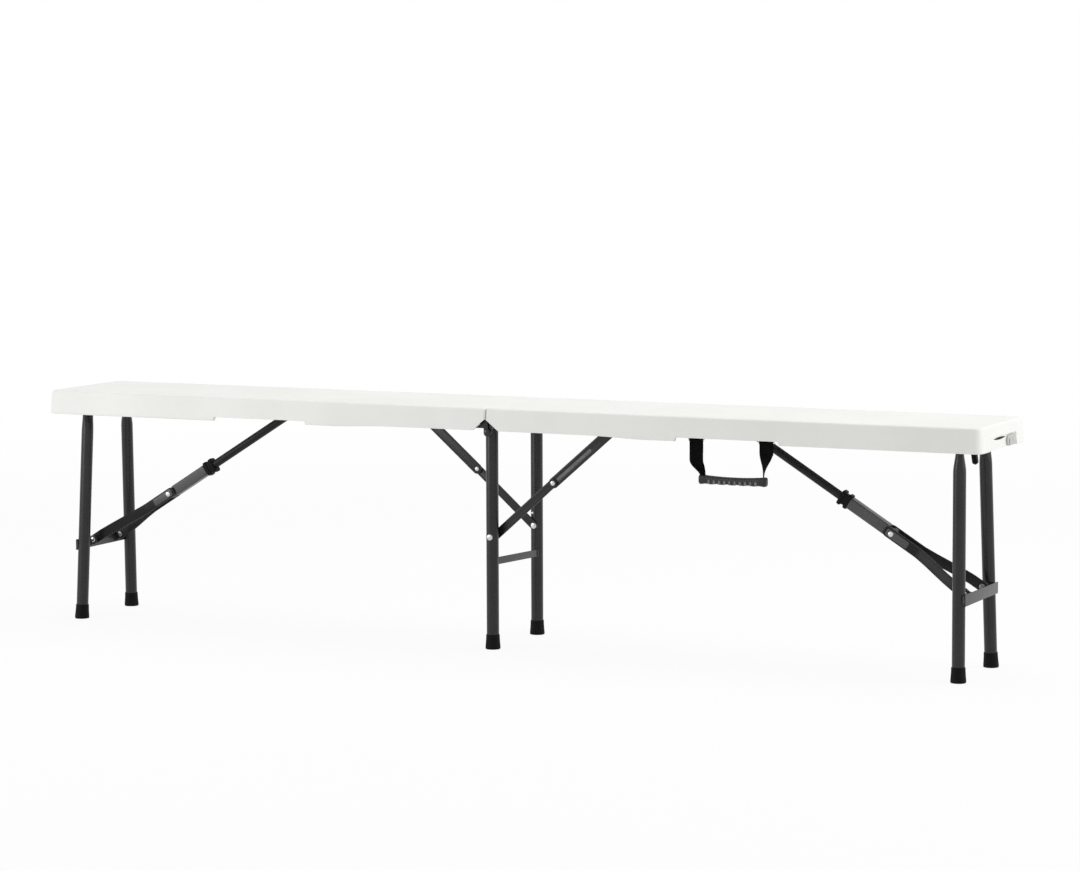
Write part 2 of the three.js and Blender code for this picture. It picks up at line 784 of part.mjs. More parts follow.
// The upper member of the knee brace, from its hub on the seat rod to its hub at the elbow
function braceRod() {
  const start = new THREE.Vector3();
  const end = new THREE.Vector3(braceRodLength, 0, 0);
  const hubs = [
    barAlongY(0, 0, braceHubRadius, -braceHubHalfWidth, braceHubHalfWidth),
    barAlongY(braceRodLength, 0, elbowHubRadius, -elbowHubHalfWidth, elbowHubHalfWidth),
  ];
  const bore = barAlongY(0, 0, rodRadius + runningGap, -seatWidth, seatWidth);
  return joined([roundBar(start, end, braceRodRadius), ...hubs]).subtract(bore);
}

// A brace arm in its own frame: X from the elbow to the lug, bent outwards in plan
function braceArm(side) {
  const inner = elbowHubHalfWidth + linkGap;
  const outer = armPivotY - armThickness / 2;
  const tip = -armTipReach - cutOverrun;
  const end = armLength + armHalfDepth + cutOverrun;
  const bends = [
    [tip, inner],
    [armStraight, inner],
    [armLength - armStraight, outer],
    [end, outer],
  ];
  const outline = [...bends, ...bends.toReversed().map(([x, y]) => [x, y + armThickness])];
  const plan = new THREE.Shape(outline.map(([x, y]) => new THREE.Vector2(x, side * y)));
  const bent = extruded(plan, 2 * armHalfDepth);
  bent.translate(0, 0, -armHalfDepth);
  const outerReach = side > 0 ? [0, seatWidth] : [-seatWidth, 0];
  const profile = linkOutline(armLength, armHalfDepth, armTipReach, armHalfDepth);
  const silhouette = prismAlongY(profile, outerReach[0], outerReach[1]);
  const studHole = barAlongY(armLength, 0, armStudRadius + runningGap, -seatWidth, seatWidth, smallSides);
  const rivetFaces = [
    side * (inner + armThickness / 2),
    side * (inner + armThickness + armRivetHeight),
  ].sort((a, b) => a - b);
  const rivet = barAlongY(0, 0, armRivetRadius, rivetFaces[0], rivetFaces[1], smallSides);
  return solidOf(bent).intersect(silhouette).subtract(studHole).add(rivet);
}

// The steel sleeve that slides along the brace rod and locks the elbow
function lockSleeve() {
  const section = roundedBox(0, 0, lockHalfWidth, lockHalfDepth, lockCornerRadius);
  const sleeve = prismAlongX(section, lockStart, lockStart + lockLength, edgeSteps);
  const bore = roundBar(
    new THREE.Vector3(0, 0, 0),
    new THREE.Vector3(braceRodLength, 0, 0),
    braceRodRadius + runningGap,
  );
  return sleeve.subtract(bore);
}

// The plastic collar that pulls the lock sleeve back
function lockCollar() {
  const section = roundedBox(0, 0, collarHalfWidth, collarHalfHeight, collarCornerRadius);
  const end = lockStart - seatedGap;
  const waist = roundedBox(0, 0, collarHalfWidth - lipRadius, collarHalfHeight - 2 * lipRadius, lockCornerRadius);
  const third = collarLength / 3;
  const collar = joined([
    prismAlongX(section, end - collarLength, end - 2 * third, edgeSteps),
    prismAlongX(waist, end - 2 * third - pinGap, end - third + pinGap, edgeSteps),
    prismAlongX(section, end - third, end, edgeSteps),
  ]);
  const bore = roundBar(
    new THREE.Vector3(0, 0, 0),
    new THREE.Vector3(braceRodLength, 0, 0),
    braceRodRadius + runningGap,
  );
  return collar.subtract(bore);
}

const lowerStayLength = Math.hypot(stayElbowX, stayElbowHeight - stayLegPivotHeight);
const lowerStayAngle = -Math.atan2(stayElbowHeight - stayLegPivotHeight, stayElbowX);
const upperStayLength = Math.hypot(stayTopPivotX - stayElbowX, stayTopPivotHeight - stayElbowHeight);
const upperStayAngle = Math.atan2(
  -(stayElbowHeight - stayTopPivotHeight),
  -(stayTopPivotX - stayElbowX),
);

// The lower stay link in its own frame, X from the leg rivet to the elbow
function lowerStay() {
  const shape = linkOutline(lowerStayLength, stayHalfWidth);
  shape.holes.push(roundHole(0, 0, stayRivetRadius + boreGap));
  shape.holes.push(roundHole(lowerStayLength, 0, stayRivetRadius + boreGap));
  return prismAlongY(shape, -stayOuterFace, -stayInnerFace);
}

// The upper stay link in its own frame, X from the seat bracket to the elbow, with a slot in its
// outer face that is closed behind
function upperStay() {
  const shape = linkOutline(upperStayLength, upperStayHalfWidth);
  shape.holes.push(roundHole(0, 0, stayStudRadius + boreGap));
  const link = prismAlongY(shape, -upperStayOuterFace, -upperStayInnerFace);
  const slot = new THREE.Shape();
  const near = upperStayLength - staySlotLength;
  slot.absarc(near, 0, staySlotHalfWidth, quarterTurn, 3 * quarterTurn, false);
  slot.absarc(upperStayLength, 0, staySlotHalfWidth, -quarterTurn, quarterTurn, false);
  const slotFloor = -upperStayInnerFace - staySlotBack;
  return link.subtract(prismAlongY(slot, -upperStayOuterFace - cutOverrun, slotFloor));
}

// The elbow rivet, held in the lower stay link
function stayElbowRivet() {
  const outer = -stayOuterFace - pinGap;
  return turnedPin(stayElbowX, stayElbowHeight, [
    [stayHeadRadius - stayHeadHeight, outer - stayHeadHeight],
    [stayHeadRadius, outer - stayHeadHeight / 2],
    [stayHeadRadius, outer],
    [stayRivetRadius, outer],
    [stayRivetRadius, -stayInnerFace],
  ]);
}

// A wire staple on the front rail, which a handle strap hangs from
function strapWire(middleX) {
  const reach = strapWidth / 2 + runningGap + wireRadius;
  const y = handleAxisY;
  const corner = (side, rise) => new THREE.Vector3(middleX + side * reach, y, handleAxisHeight + rise);
  const sideReach = new THREE.Vector3(wireRadius, 0, 0);
  return joined([
    roundBar(
      corner(-1, 0).sub(sideReach),
      corner(1, 0).add(sideReach),
      wireRadius,
      wireRadius,
      smallSides / 2,
    ),
    roundBar(corner(-1, 0), corner(-1, wireLegRise), wireRadius, wireRadius, smallSides / 2),
    roundBar(corner(1, 0), corner(1, wireLegRise), wireRadius, wireRadius, smallSides / 2),
  ]);
}

// A webbing strap: a loop round its wire, then a run that turns and leans down to the grip
function strap(middleX, footX, turn) {
  const eyeRadius = wireRadius + runningGap + strapEyeWall;
  const eyeEnd = (side) => new THREE.Vector3(middleX + side * strapWidth / 2, handleAxisY, handleAxisHeight);
  const eye = roundBar(eyeEnd(-1), eyeEnd(1), eyeRadius, eyeRadius, smallSides);
  const bore = roundBar(
    eyeEnd(-2),
    eyeEnd(2),
    wireRadius + runningGap,
    wireRadius + runningGap,
    smallSides,
  );
  const drop = handleAxisHeight - (gripHeight + gripHalfDepth - gripSocketDepth) - runningGap;
  const loops = [];
  const steps = 2 * cornerSteps;
  for (let step = steps; step >= 0; step -= 1) {
    const down = eyeRadius / 2 + (drop - eyeRadius / 2) * step / steps;
    const share = THREE.MathUtils.smoothstep(down, strapTwistStart, strapTwistEnd);
    const angle = turn * strapTurnShare * quarterTurn * share;
    const runX = middleX + (footX - middleX) * share;
    const half = (strapWidth + (strapFootWidth - strapWidth) * share) / 2;
    const flat = new THREE.Vector2(Math.cos(angle), Math.sin(angle));
    const thick = new THREE.Vector2(-flat.y, flat.x).multiplyScalar(strapThickness / 2);
    const corners = [[-1, -1], [1, -1], [1, 1], [-1, 1]];
    loops.push(corners.map(([u, v]) => new THREE.Vector3(
      runX + u * half * flat.x + v * thick.x,
      handleAxisY + u * half * flat.y + v * thick.y,
      handleAxisHeight - down,
    )));
  }
  return loft(loops, [2]).add(eye).subtract(bore);
}

// The socket in the grip that a strap's foot enters
function strapSocket(footX, turn) {
  const angle = turn * strapTurnShare * quarterTurn;
  const halfWidth = strapFootWidth / 2 + runningGap;
  const halfThickness = strapThickness / 2 + runningGap;
  const corners = [[-1, -1], [1, -1], [1, 1], [-1, 1]].map(([u, v]) => new THREE.Vector2(
    footX + u * halfWidth * Math.cos(angle) - v * halfThickness * Math.sin(angle),
    handleAxisY + u * halfWidth * Math.sin(angle) + v * halfThickness * Math.cos(angle),
  ));
  const geometry = extruded(new THREE.Shape(corners), gripSocketDepth + runningGap + cutOverrun);
  geometry.translate(0, 0, gripHeight + gripHalfDepth - gripSocketDepth - runningGap);
  return solidOf(geometry);
}

// The moulded grip, bowed downwards, with finger hollows below and a socket for each strap
function handleGrip() {
  const [low, high] = [gripLowX, gripHighX];
  const middle = (low + high) / 2;
  const bevel = gripEdgeRadius;
  const top = gripHeight + gripHalfDepth - bevel;
  const bottom = gripHeight - gripHalfDepth + bevel;
  const shape = new THREE.Shape();
  shape.moveTo(low + bevel, bottom);
  const run = (high - low - 2 * bevel) / gripFingers;
  for (let finger = 0; finger < gripFingers; finger += 1) {
    const start = low + bevel + finger * run;
    shape.quadraticCurveTo(start + run / 2, bottom + gripFingerDepth, start + run, bottom);
  }
  shape.lineTo(high - bevel, top);
  shape.quadraticCurveTo(middle, top - gripSag, low + bevel, top);
  const geometry = new THREE.ExtrudeGeometry(shape, {
    depth: 2 * (gripHalfWidth - bevel),
    bevelSize: bevel,
    bevelThickness: bevel,
    bevelSegments: 2,
    curveSegments: cornerSteps / 2,
  });
  geometry.rotateX(quarterTurn);
  geometry.translate(0, handleAxisY + gripHalfWidth - bevel, 0);
  const sockets = [
    strapSocket(gripLowX + strapFootInset, 1),
    strapSocket(gripHighX - strapFootInset, -1),
  ];
  return cutAway(solidOf(geometry), sockets);
}

// The latch in its rest place: an arm from its pin towards the front, with a hook slot below
function latchHook() {
  const back = halfLength - latchRecessDepth + runningGap;
  const shape = new THREE.Shape();
  const tip = latchPivotY - latchArm - latchOvershoot + latchHalfWidth;
  shape.absarc(latchPivotY, latchHeight, latchHalfWidth, -quarterTurn, quarterTurn, false);
  shape.absarc(tip, latchHeight, latchHalfWidth, quarterTurn, 3 * quarterTurn, false);
  shape.holes.push(roundHole(latchPivotY, latchHeight, latchPinRadius + runningGap));
  const slotHalf = latchPinRadius + runningGap + pinGap;
  const slot = new THREE.Shape();
  slot.moveTo(latchPivotY - latchArm - slotHalf, latchHeight - latchHalfWidth - cutOverrun);
  slot.lineTo(latchPivotY - latchArm + slotHalf, latchHeight - latchHalfWidth - cutOverrun);
  slot.absarc(latchPivotY - latchArm, latchHeight, slotHalf, 0, halfTurn, false);
  const plate = prismAlongX(shape, back, back + latchPlate);
  return plate.subtract(prismAlongX(slot, back - cutOverrun, back + latchPlate + cutOverrun));
}

// A headed pin in an end wall, for the latch or for its hook
function latchPin() {
  const headStart = halfLength - latchRecessDepth + 2 * runningGap + latchPlate;
  const geometry = new THREE.LatheGeometry([
    new THREE.Vector2(0, endWallInner - latchPlate),
    new THREE.Vector2(latchPinRadius, endWallInner - latchPlate),
    new THREE.Vector2(latchPinRadius, headStart),
    new THREE.Vector2(latchHeadRadius, headStart),
    new THREE.Vector2(latchHeadRadius, headStart + latchHeadThickness),
    new THREE.Vector2(0, headStart + latchHeadThickness),
  ], smallSides);
  geometry.rotateZ(-quarterTurn);
  geometry.translate(0, 0, latchHeight);
  return solidOf(geometry);
}

// The scene graph
const bench = new THREE.Group();
const rightSide = new THREE.Group();
const leftSide = new THREE.Group();
leftSide.rotation.z = halfTurn;
bench.add(rightSide, leftSide);

function namedMesh(name, solid, material) {
  const mesh = new THREE.Mesh(geometryOf(solid), material.clone());
  mesh.name = name;
  return mesh;
}

// The same piece on both halves, the left one turned half a turn about the middle of the bench
function onBothSides(piece, solid, material, place = () => {}) {
  for (const [side, group] of [['right', rightSide], ['left', leftSide]]) {
    const mesh = namedMesh(`${side}_${piece}`, solid, material);
    place(mesh);
    group.add(mesh);
  }
}

// A piece with a front copy and a rear copy on both halves; on the turned half front is rear
function onAllCorners(piece, solidFor, material, place = () => {}) {
  for (const [side, group] of [['right', rightSide], ['left', leftSide]]) {
    for (const facing of [-1, 1]) {
      const atFront = (side === 'right') === (facing < 0);
      const mesh = namedMesh(`${side}_${piece}_${atFront ? 'front' : 'rear'}`, solidFor(facing), material);
      place(mesh);
      group.add(mesh);
    }
  }
}

function addSeats() {
  onBothSides('seat_shell', seatShell(), shellWhite);
  onAllCorners(
    'seat_rail',
    (facing) => rail(facing < 0 ? webInnerFront : webInnerRear, facing),
    frameSteel,
  );
  onBothSides('leg_rod', crossRod(outerPivotX, outerPivotHeight), zincSteel);
  onBothSides('brace_rod_pin', crossRod(bracePivotX, bracePivotHeight), zincSteel);
  onBothSides('stay_bracket', stayBracket(), frameSteel);
}

function addCentreFrame() {
  for (const [side, facing] of [[-1, 'front'], [1, 'rear']]) {
    const foot = new THREE.Vector3(0, side * centreLegY, 0);
    const top = new THREE.Vector3(0, side * centreLegY, seatHeight);
    bench.add(namedMesh(`centre_leg_${facing}`, centreLeg(side), frameSteel));
    bench.add(namedMesh(`centre_foot_cap_${facing}`, footCap(foot, top), blackPlastic));
    const group = side < 0 ? rightSide : leftSide;
    group.add(namedMesh(`hinge_pin_${facing}`, hingePin(), frameSteel));
    group.add(namedMesh(`stay_leg_rivet_${facing}`, stayLegRivet(), zincSteel));
  }
  bench.add(namedMesh('centre_crossbar', centreBar(), frameSteel));
}

function addOuterLegs() {
  onAllCorners('outer_leg', outerLeg, frameSteel);
  onAllCorners(
    'foot_cap',
    (facing) => footCap(outerLegPoint(facing, 0), outerLegPoint(facing, outerPivotHeight)),
    blackPlastic,
  );
  rightSide.add(namedMesh('right_leg_pivot_tube', pivotTube(true), frameSteel));
  leftSide.add(namedMesh('left_leg_pivot_tube', pivotTube(false), frameSteel));
  onBothSides('leg_crossbar', legCrossbar(), frameSteel);
}

function addBraces() {
  const atSeat = (mesh) => {
    mesh.position.set(bracePivotX, 0, bracePivotHeight);
    mesh.rotation.y = braceAngle;
  };
  const atElbow = (mesh) => {
    mesh.position.set(
      bracePivotX + braceRodLength * Math.cos(braceAngle),
      0,
      bracePivotHeight - braceRodLength * Math.sin(braceAngle),
    );
    mesh.rotation.y = braceAngle;
  };
  onBothSides('brace_rod', braceRod(), frameSteel, atSeat);
  onBothSides('lock_sleeve', lockSleeve(), frameSteel, atSeat);
  onBothSides('lock_collar', lockCollar(), blackPlastic, atSeat);
  onAllCorners('brace_arm', braceArm, frameSteel, atElbow);
}

function addStays() {
  onBothSides('stay_lower', lowerStay(), frameSteel, (mesh) => {
    mesh.position.set(0, 0, stayLegPivotHeight);
    mesh.rotation.y = lowerStayAngle;
  });
  onBothSides('stay_upper', upperStay(), frameSteel, (mesh) => {
    mesh.position.set(stayTopPivotX, 0, stayTopPivotHeight);
    mesh.rotation.y = upperStayAngle;
  });
  onBothSides('stay_elbow_rivet', stayElbowRivet(), zincSteel);
}

function addHandle() {
  bench.add(namedMesh('handle_grip', handleGrip(), blackPlastic));
  bench.add(namedMesh('handle_strap_left', strap(handleLeftX, gripLowX + strapFootInset, 1), blackWebbing));
  bench.add(namedMesh('handle_strap_right', strap(handleRightX, gripHighX - strapFootInset, -1), blackWebbing));
  bench.add(namedMesh('handle_wire_left', strapWire(handleLeftX), zincSteel));
  bench.add(namedMesh('handle_wire_right', strapWire(handleRightX), zincSteel));
}

function addLatch() {
  rightSide.add(namedMesh('latch_hook', latchHook(), latchGrey));
  const pivot = namedMesh('latch_pivot_pin', latchPin(), zincSteel);
  pivot.position.y = latchPivotY;
  rightSide.add(pivot);
  const peg = namedMesh('latch_peg', latchPin(), zincSteel);
  peg.position.y = -latchPivotY;
  leftSide.add(peg);
}

addSeats();
addCentreFrame();
addOuterLegs();
addBraces();
addStays();
addHandle();
addLatch();

export default bench;
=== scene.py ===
"""The looks of a folding bench: two moulded seat halves on a folding steel frame.

Sizes are in millimetres in the classes and become metres when a skin is made a mesh. X runs along
the bench, -Y is the front and +Z is up. The left half is the right half turned half a turn.
"""

import logging
import math
from collections.abc import Callable
from dataclasses import dataclass, replace
from enum import Enum

import bpy
import numpy as np
from mathutils import Matrix, Vector
from mathutils.geometry import delaunay_2d_cdt


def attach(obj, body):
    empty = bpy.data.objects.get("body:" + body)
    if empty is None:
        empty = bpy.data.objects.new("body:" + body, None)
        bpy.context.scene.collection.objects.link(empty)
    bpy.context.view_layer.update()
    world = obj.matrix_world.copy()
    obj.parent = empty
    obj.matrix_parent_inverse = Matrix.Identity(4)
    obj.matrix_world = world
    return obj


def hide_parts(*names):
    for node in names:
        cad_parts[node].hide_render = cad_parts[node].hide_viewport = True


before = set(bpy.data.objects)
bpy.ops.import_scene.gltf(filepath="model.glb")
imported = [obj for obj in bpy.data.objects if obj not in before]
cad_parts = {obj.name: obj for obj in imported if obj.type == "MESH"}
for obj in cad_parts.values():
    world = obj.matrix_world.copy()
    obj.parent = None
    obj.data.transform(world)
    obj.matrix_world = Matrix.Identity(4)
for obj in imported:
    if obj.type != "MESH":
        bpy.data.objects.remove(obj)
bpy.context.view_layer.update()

log = logging.getLogger("bench")
MM = 0.001
FULL_TURN = 2 * math.pi
QUARTER = math.pi / 2
# The play round a turning part and the gap under a riveted head, in millimetres
RUNNING_GAP = 0.3
HEAD_GAP = 0.15
Pair = tuple[float, float]
Triple = tuple[float, float, float]


class Ends(Enum):
    """How the first and last rows of a grid are closed."""

    CAPPED = "capped"
    WRAPPED = "wrapped"
    GATHERED = "gathered"


class Plane(Enum):
    """The plane that a flat outline is drawn in."""

    XZ = "xz"
    YZ = "yz"


@dataclass
class Skin:
    """A closed surface in millimetres: points, and faces as rows of point numbers."""

    points: np.ndarray
    quads: np.ndarray
    triangles: np.ndarray
    runs: np.ndarray

    def moved(self, points: np.ndarray) -> "Skin":
        """Returns the same faces on other points.

        Args:
            points: The new places, one row for each point.

        Returns:
            A skin with those points.
        """
        return replace(self, points=points)

    def shifted(self, x: float = 0, y: float = 0, z: float = 0) -> "Skin":
        """Returns the skin moved along the three axes."""
        return self.moved(self.points + np.array([x, y, z]))

    def turned_about_y(self, angle: float) -> "Skin":
        """Returns the skin turned about Y, where x' = x cos a + z sin a and z' = z cos a - x sin a.

        Args:
            angle: The turn in radians.

        Returns:
            The turned skin.
        """
        x, y, z = self.points.T
        c, s = math.cos(angle), math.sin(angle)
        return self.moved(np.stack([x * c + z * s, y, z * c - x * s], axis=1))

    def volume(self) -> float:
        """Returns the signed volume, the sum of p . (q x r) / 6 over all triangles."""
        split = np.concatenate(
            [self.triangles, self.quads[:, [0, 1, 2]], self.quads[:, [0, 2, 3]]]
        )
        p, q, r = (self.points[split[:, k]] for k in range(3))
        return float(np.einsum("ij,ij->", p, np.cross(q, r)) / 6)

    def outward(self) -> "Skin":
        """Returns the skin with its faces turned outwards, so that its volume is above zero."""
        if self.volume() >= 0:
            return self
        return replace(self, quads=self.quads[:, ::-1], triangles=self.triangles[:, ::-1])


def banded(number: np.ndarray) -> np.ndarray:
    """Returns the quads between rows of point numbers, counted round the columns."""
    beside = np.roll(number, -1, axis=1)
    return np.stack([number[:-1], beside[:-1], beside[1:], number[1:]], axis=-1).reshape(-1, 4)


def skin_of(grid: np.ndarray, ends: Ends = Ends.CAPPED, runs: np.ndarray | None = None) -> Skin:
    """Makes a closed skin of a grid of points that is closed around.

    Row i and column j are joined to row i + 1 and column j + 1, counted round the columns.

    Args:
        grid: The points, shaped (rows, columns, 3).
        ends: How the first and last rows are closed.
        runs: Where each point lies across and along the piece, shaped (rows, columns, 2).

    Returns:
        The skin, with its faces outwards.
    """
    rows, columns = grid.shape[:2]
    number = np.arange(rows * columns).reshape(rows, columns)
    if ends is Ends.WRAPPED:
        number = np.vstack([number, number[:1]])
    points, triangles = grid.reshape(-1, 3), np.zeros((0, 3), int)
    marks = (np.zeros((rows, columns, 2)) if runs is None else runs).reshape(-1, 2)
    if ends is Ends.CAPPED:
        beside = np.roll(number, -1, axis=1)
        middles = np.stack([grid[0].mean(axis=0), grid[-1].mean(axis=0)])
        first, last = rows * columns, rows * columns + 1
        near = np.stack([np.full(columns, first), beside[0], number[0]], axis=1)
        far = np.stack([np.full(columns, last), number[-1], beside[-1]], axis=1)
        triangles = np.concatenate([near, far])
        points = np.concatenate([points, middles])
        marks = np.concatenate([marks, marks[:1], marks[-1:]])
    skin = Skin(points, banded(number), triangles, marks)
    return (gathered(skin) if ends is Ends.GATHERED else skin).outward()


def gathered(skin: Skin, grain: float = 1e-4) -> Skin:
    """Joins points that share a place, and drops what becomes of a face without area.

    Args:
        skin: The skin to clean.
        grain: The distance below which two points are one, in millimetres.

    Returns:
        The joined skin.
    """
    cells = np.round(skin.points / grain).astype(np.int64)
    _, first, back = np.unique(cells, axis=0, return_index=True, return_inverse=True)
    back = back.reshape(-1)
    quads, triangles = back[skin.quads], back[skin.triangles]
    same = quads == np.roll(quads, -1, axis=1)
    whole = quads[~same.any(axis=1)]
    pinched = [
        quads[same[:, k] & (same.sum(axis=1) == 1)][:, [i for i in range(4) if i != k]]
        for k in range(4)
    ]
    triangles = np.concatenate([triangles, *pinched])
    flat = (triangles == np.roll(triangles, -1, axis=1)).any(axis=1)
    return Skin(skin.points[first], whole, triangles[~flat], skin.runs[first])


def together(*skins: Skin) -> Skin:
    """Puts several skins side by side in one, each keeping its own closed faces."""
    starts = np.cumsum([0] + [len(skin.points) for skin in skins[:-1]])
    return Skin(
        np.concatenate([skin.points for skin in skins]),
        np.concatenate([skin.quads + start for skin, start in zip(skins, starts)]),
        np.concatenate([skin.triangles + start for skin, start in zip(skins, starts)]),
        np.concatenate([skin.runs for skin in skins]),
    )


def ramp(value: np.ndarray, low: float, high: float) -> np.ndarray:
    """Returns 0 below low, 1 above high and 3 t^2 - 2 t^3 between, t being the share of the way."""
    t = np.clip((value - low) / (high - low), 0, 1)
    return t * t * (3 - 2 * t)


def grid_of(*measures: np.ndarray | float) -> np.ndarray:
    """Stacks measures as coordinates, each first spread to the shape that they share."""
    return np.stack(np.broadcast_arrays(*measures), axis=-1)


def arc(radius: float, angle: np.ndarray, middle: Pair | np.ndarray = (0, 0)) -> np.ndarray:
    """Returns middle + (r cos a, r sin a) for each angle, shaped (angles, 2)."""
    return np.asarray(middle) + radius * np.stack([np.cos(angle), np.sin(angle)], axis=1)


def ring(radius: float, sides: int) -> np.ndarray:
    """Returns points round a circle about zero, shaped (sides, 2)."""
    return arc(radius, np.arange(sides) * FULL_TURN / sides)


def soft_rectangle(half_u: float, half_v: float, radius: float, steps: int = 5) -> np.ndarray:
    """Returns a rectangle about zero with round corners.

    Each corner is its middle plus radius times (cos a, sin a) over a quarter turn.

    Args:
        half_u: Half the width.
        half_v: Half the height.
        radius: The corner radius.
        steps: Steps in each corner.

    Returns:
        The points in order, shaped (4 * (steps + 1), 2).
    """
    angle = np.linspace(0, QUARTER, steps + 1)
    starts = np.arange(4) * QUARTER
    turn = (starts[:, None] + angle[None, :]).reshape(-1)
    signs = np.array([[1, 1], [-1, 1], [-1, -1], [1, -1]]).repeat(steps + 1, axis=0)
    middles = signs * np.array([half_u - radius, half_v - radius])
    return arc(radius, turn, middles)


def carried(sections: np.ndarray, path: np.ndarray, side: Triple) -> np.ndarray:
    """Carries sections along a path: path + u (v' x t) + v v', with v' = t x side made one long.

    Args:
        sections: The sections, shaped (columns, 2) or (rows, columns, 2).
        path: The points that the section's middle follows, shaped (rows, 3).
        side: The direction that the section's first measure runs along.

    Returns:
        The grid of points, shaped (rows, columns, 3).
    """
    tangent = np.gradient(path, axis=0)
    tangent /= np.linalg.norm(tangent, axis=1, keepdims=True)
    over = np.cross(tangent, np.array(side, float))
    over /= np.linalg.norm(over, axis=1, keepdims=True)
    across = np.cross(over, tangent)
    whole = np.broadcast_to(sections, (len(path), *sections.shape[-2:]))
    return (
        path[:, None, :]
        + whole[..., :1] * across[:, None, :]
        + whole[..., 1:] * over[:, None, :]
    )


def turned(
    profile: np.ndarray,
    start: Triple,
    along: Triple,
    sides: int = 32,
    ends: Ends = Ends.GATHERED,
) -> Skin:
    """Turns a profile about an axis: start + h t + r (cos a e + sin a f), e and f square to t.

    Args:
        profile: Radius and distance along the axis, shaped (rows, 2).
        start: Where the axis starts.
        along: The axis direction.
        sides: Steps round the axis.
        ends: GATHERED for a profile that starts and ends at radius zero, WRAPPED for a closed one.

    Returns:
        The turned skin.
    """
    t = np.array(along, float)
    t /= np.linalg.norm(t)
    e = np.cross(t, [0.0, 0.0, 1.0] if abs(t[2]) < 0.9 else [1.0, 0.0, 0.0])
    e /= np.linalg.norm(e)
    f = np.cross(t, e)
    round_ = ring(1, sides)
    radial = round_[:, :1] * e + round_[:, 1:] * f
    grid = (
        np.array(start, float)
        + profile[:, None, 1:] * t
        + profile[:, None, :1] * radial[None, :, :]
    )
    return skin_of(grid, ends)


def sleeve(
    outer: float, inner: float, low: float, high: float, edge: float = 0.6, steps: int = 3
) -> np.ndarray:
    """Returns the closed profile of a tube with rounded rims, as radius and distance along it.

    Args:
        outer: The outer radius.
        inner: The bore's radius.
        low: Where it starts.
        high: Where it ends.
        edge: The radius of its rims.
        steps: Steps in each rim.

    Returns:
        The profile, shaped (rows, 2), without its first point again.
    """
    wall = soft_rectangle((outer - inner) / 2, (high - low) / 2, edge, steps)
    return wall + np.array([(outer + inner) / 2, (high + low) / 2])


def domed(radius: float, height: float, rise: float, steps: int = 7) -> np.ndarray:
    """Returns the profile of a low dome on a short rim.

    Above the rim the height is rim + rise cos a and the radius is r sin a, a going down to zero.

    Args:
        radius: The head's radius.
        height: The whole height.
        rise: How much of the height is dome.
        steps: Steps in the dome.

    Returns:
        Radius and height from the foot's middle to the crown, shaped (rows, 2).
    """
    angle = np.linspace(QUARTER, 0, steps)
    dome = np.stack([radius * np.sin(angle), height - rise + rise * np.cos(angle)], axis=1)
    return np.concatenate([[[0, 0], [radius, 0]], dome])


def rod(
    start: Triple,
    end: Triple,
    radius: float,
    edge: float = 0.5,
    sides: int = 32,
) -> Skin:
    """Makes a round bar with rounded rims between two points.

    Args:
        start: One end of its axis.
        end: The other end.
        radius: Its radius.
        edge: The radius of its rims.
        sides: Steps round it.

    Returns:
        The bar.
    """
    axis = np.array(end, float) - np.array(start, float)
    length = float(np.linalg.norm(axis))
    angle = np.linspace(0, QUARTER, 4)
    rim = np.stack([radius - edge + edge * np.sin(angle), edge - edge * np.cos(angle)], axis=1)
    far = rim[::-1] * [1, -1] + [0, length]
    profile = np.concatenate([[[0, 0]], rim, far, [[0, length]]])
    return turned(profile, start, tuple(axis), sides)


def riveted(
    place: Pair, ends: Pair, shaft: tuple[float, int], sunk: float, heads: tuple[np.ndarray, ...]
) -> Skin:
    """Makes a pin that runs across the bench, with a domed head at its front and its rear.

    Args:
        place: Its X and Z.
        ends: Where the front and the rear head sit.
        shaft: The shaft's radius and the steps round it.
        sunk: How far the shaft runs into its heads.
        heads: The profiles of the front and the rear head.

    Returns:
        The pin.
    """
    (x, z), (front, rear), (radius, sides) = place, ends, shaft
    return together(
        rod((x, front - sunk, z), (x, rear + sunk, z), radius, 0.3, sides),
        turned(heads[0], (x, front, z), (0, -1, 0), 32),
        turned(heads[1], (x, rear, z), (0, 1, 0), 32),
    )


def inside(points: np.ndarray, loop: np.ndarray) -> np.ndarray:
    """Says which points lie in a loop: a level ray from them crosses it an odd number of times.

    Args:
        points: The points to test, shaped (n, 2).
        loop: The loop's corners, shaped (m, 2).

    Returns:
        One truth value for each point.
    """
    a, b = loop[None], np.roll(loop, -1, axis=0)[None]
    x, y = points[:, None, 0], points[:, None, 1]
    straddles = (a[..., 1] > y) != (b[..., 1] > y)
    rise = np.where(b[..., 1] == a[..., 1], 1.0, b[..., 1] - a[..., 1])
    crossing = a[..., 0] + (y - a[..., 1]) * (b[..., 0] - a[..., 0]) / rise
    return (straddles & (x < crossing)).sum(axis=1) % 2 == 1


def counterclockwise(loop: np.ndarray, wanted: bool = True) -> np.ndarray:
    """Returns a flat loop in one direction of turn, from the sign of its area."""
    x, y = loop.T
    area = float(np.sum(x * np.roll(y, -1) - y * np.roll(x, -1)))
    return loop if (area > 0) == wanted else loop[::-1]


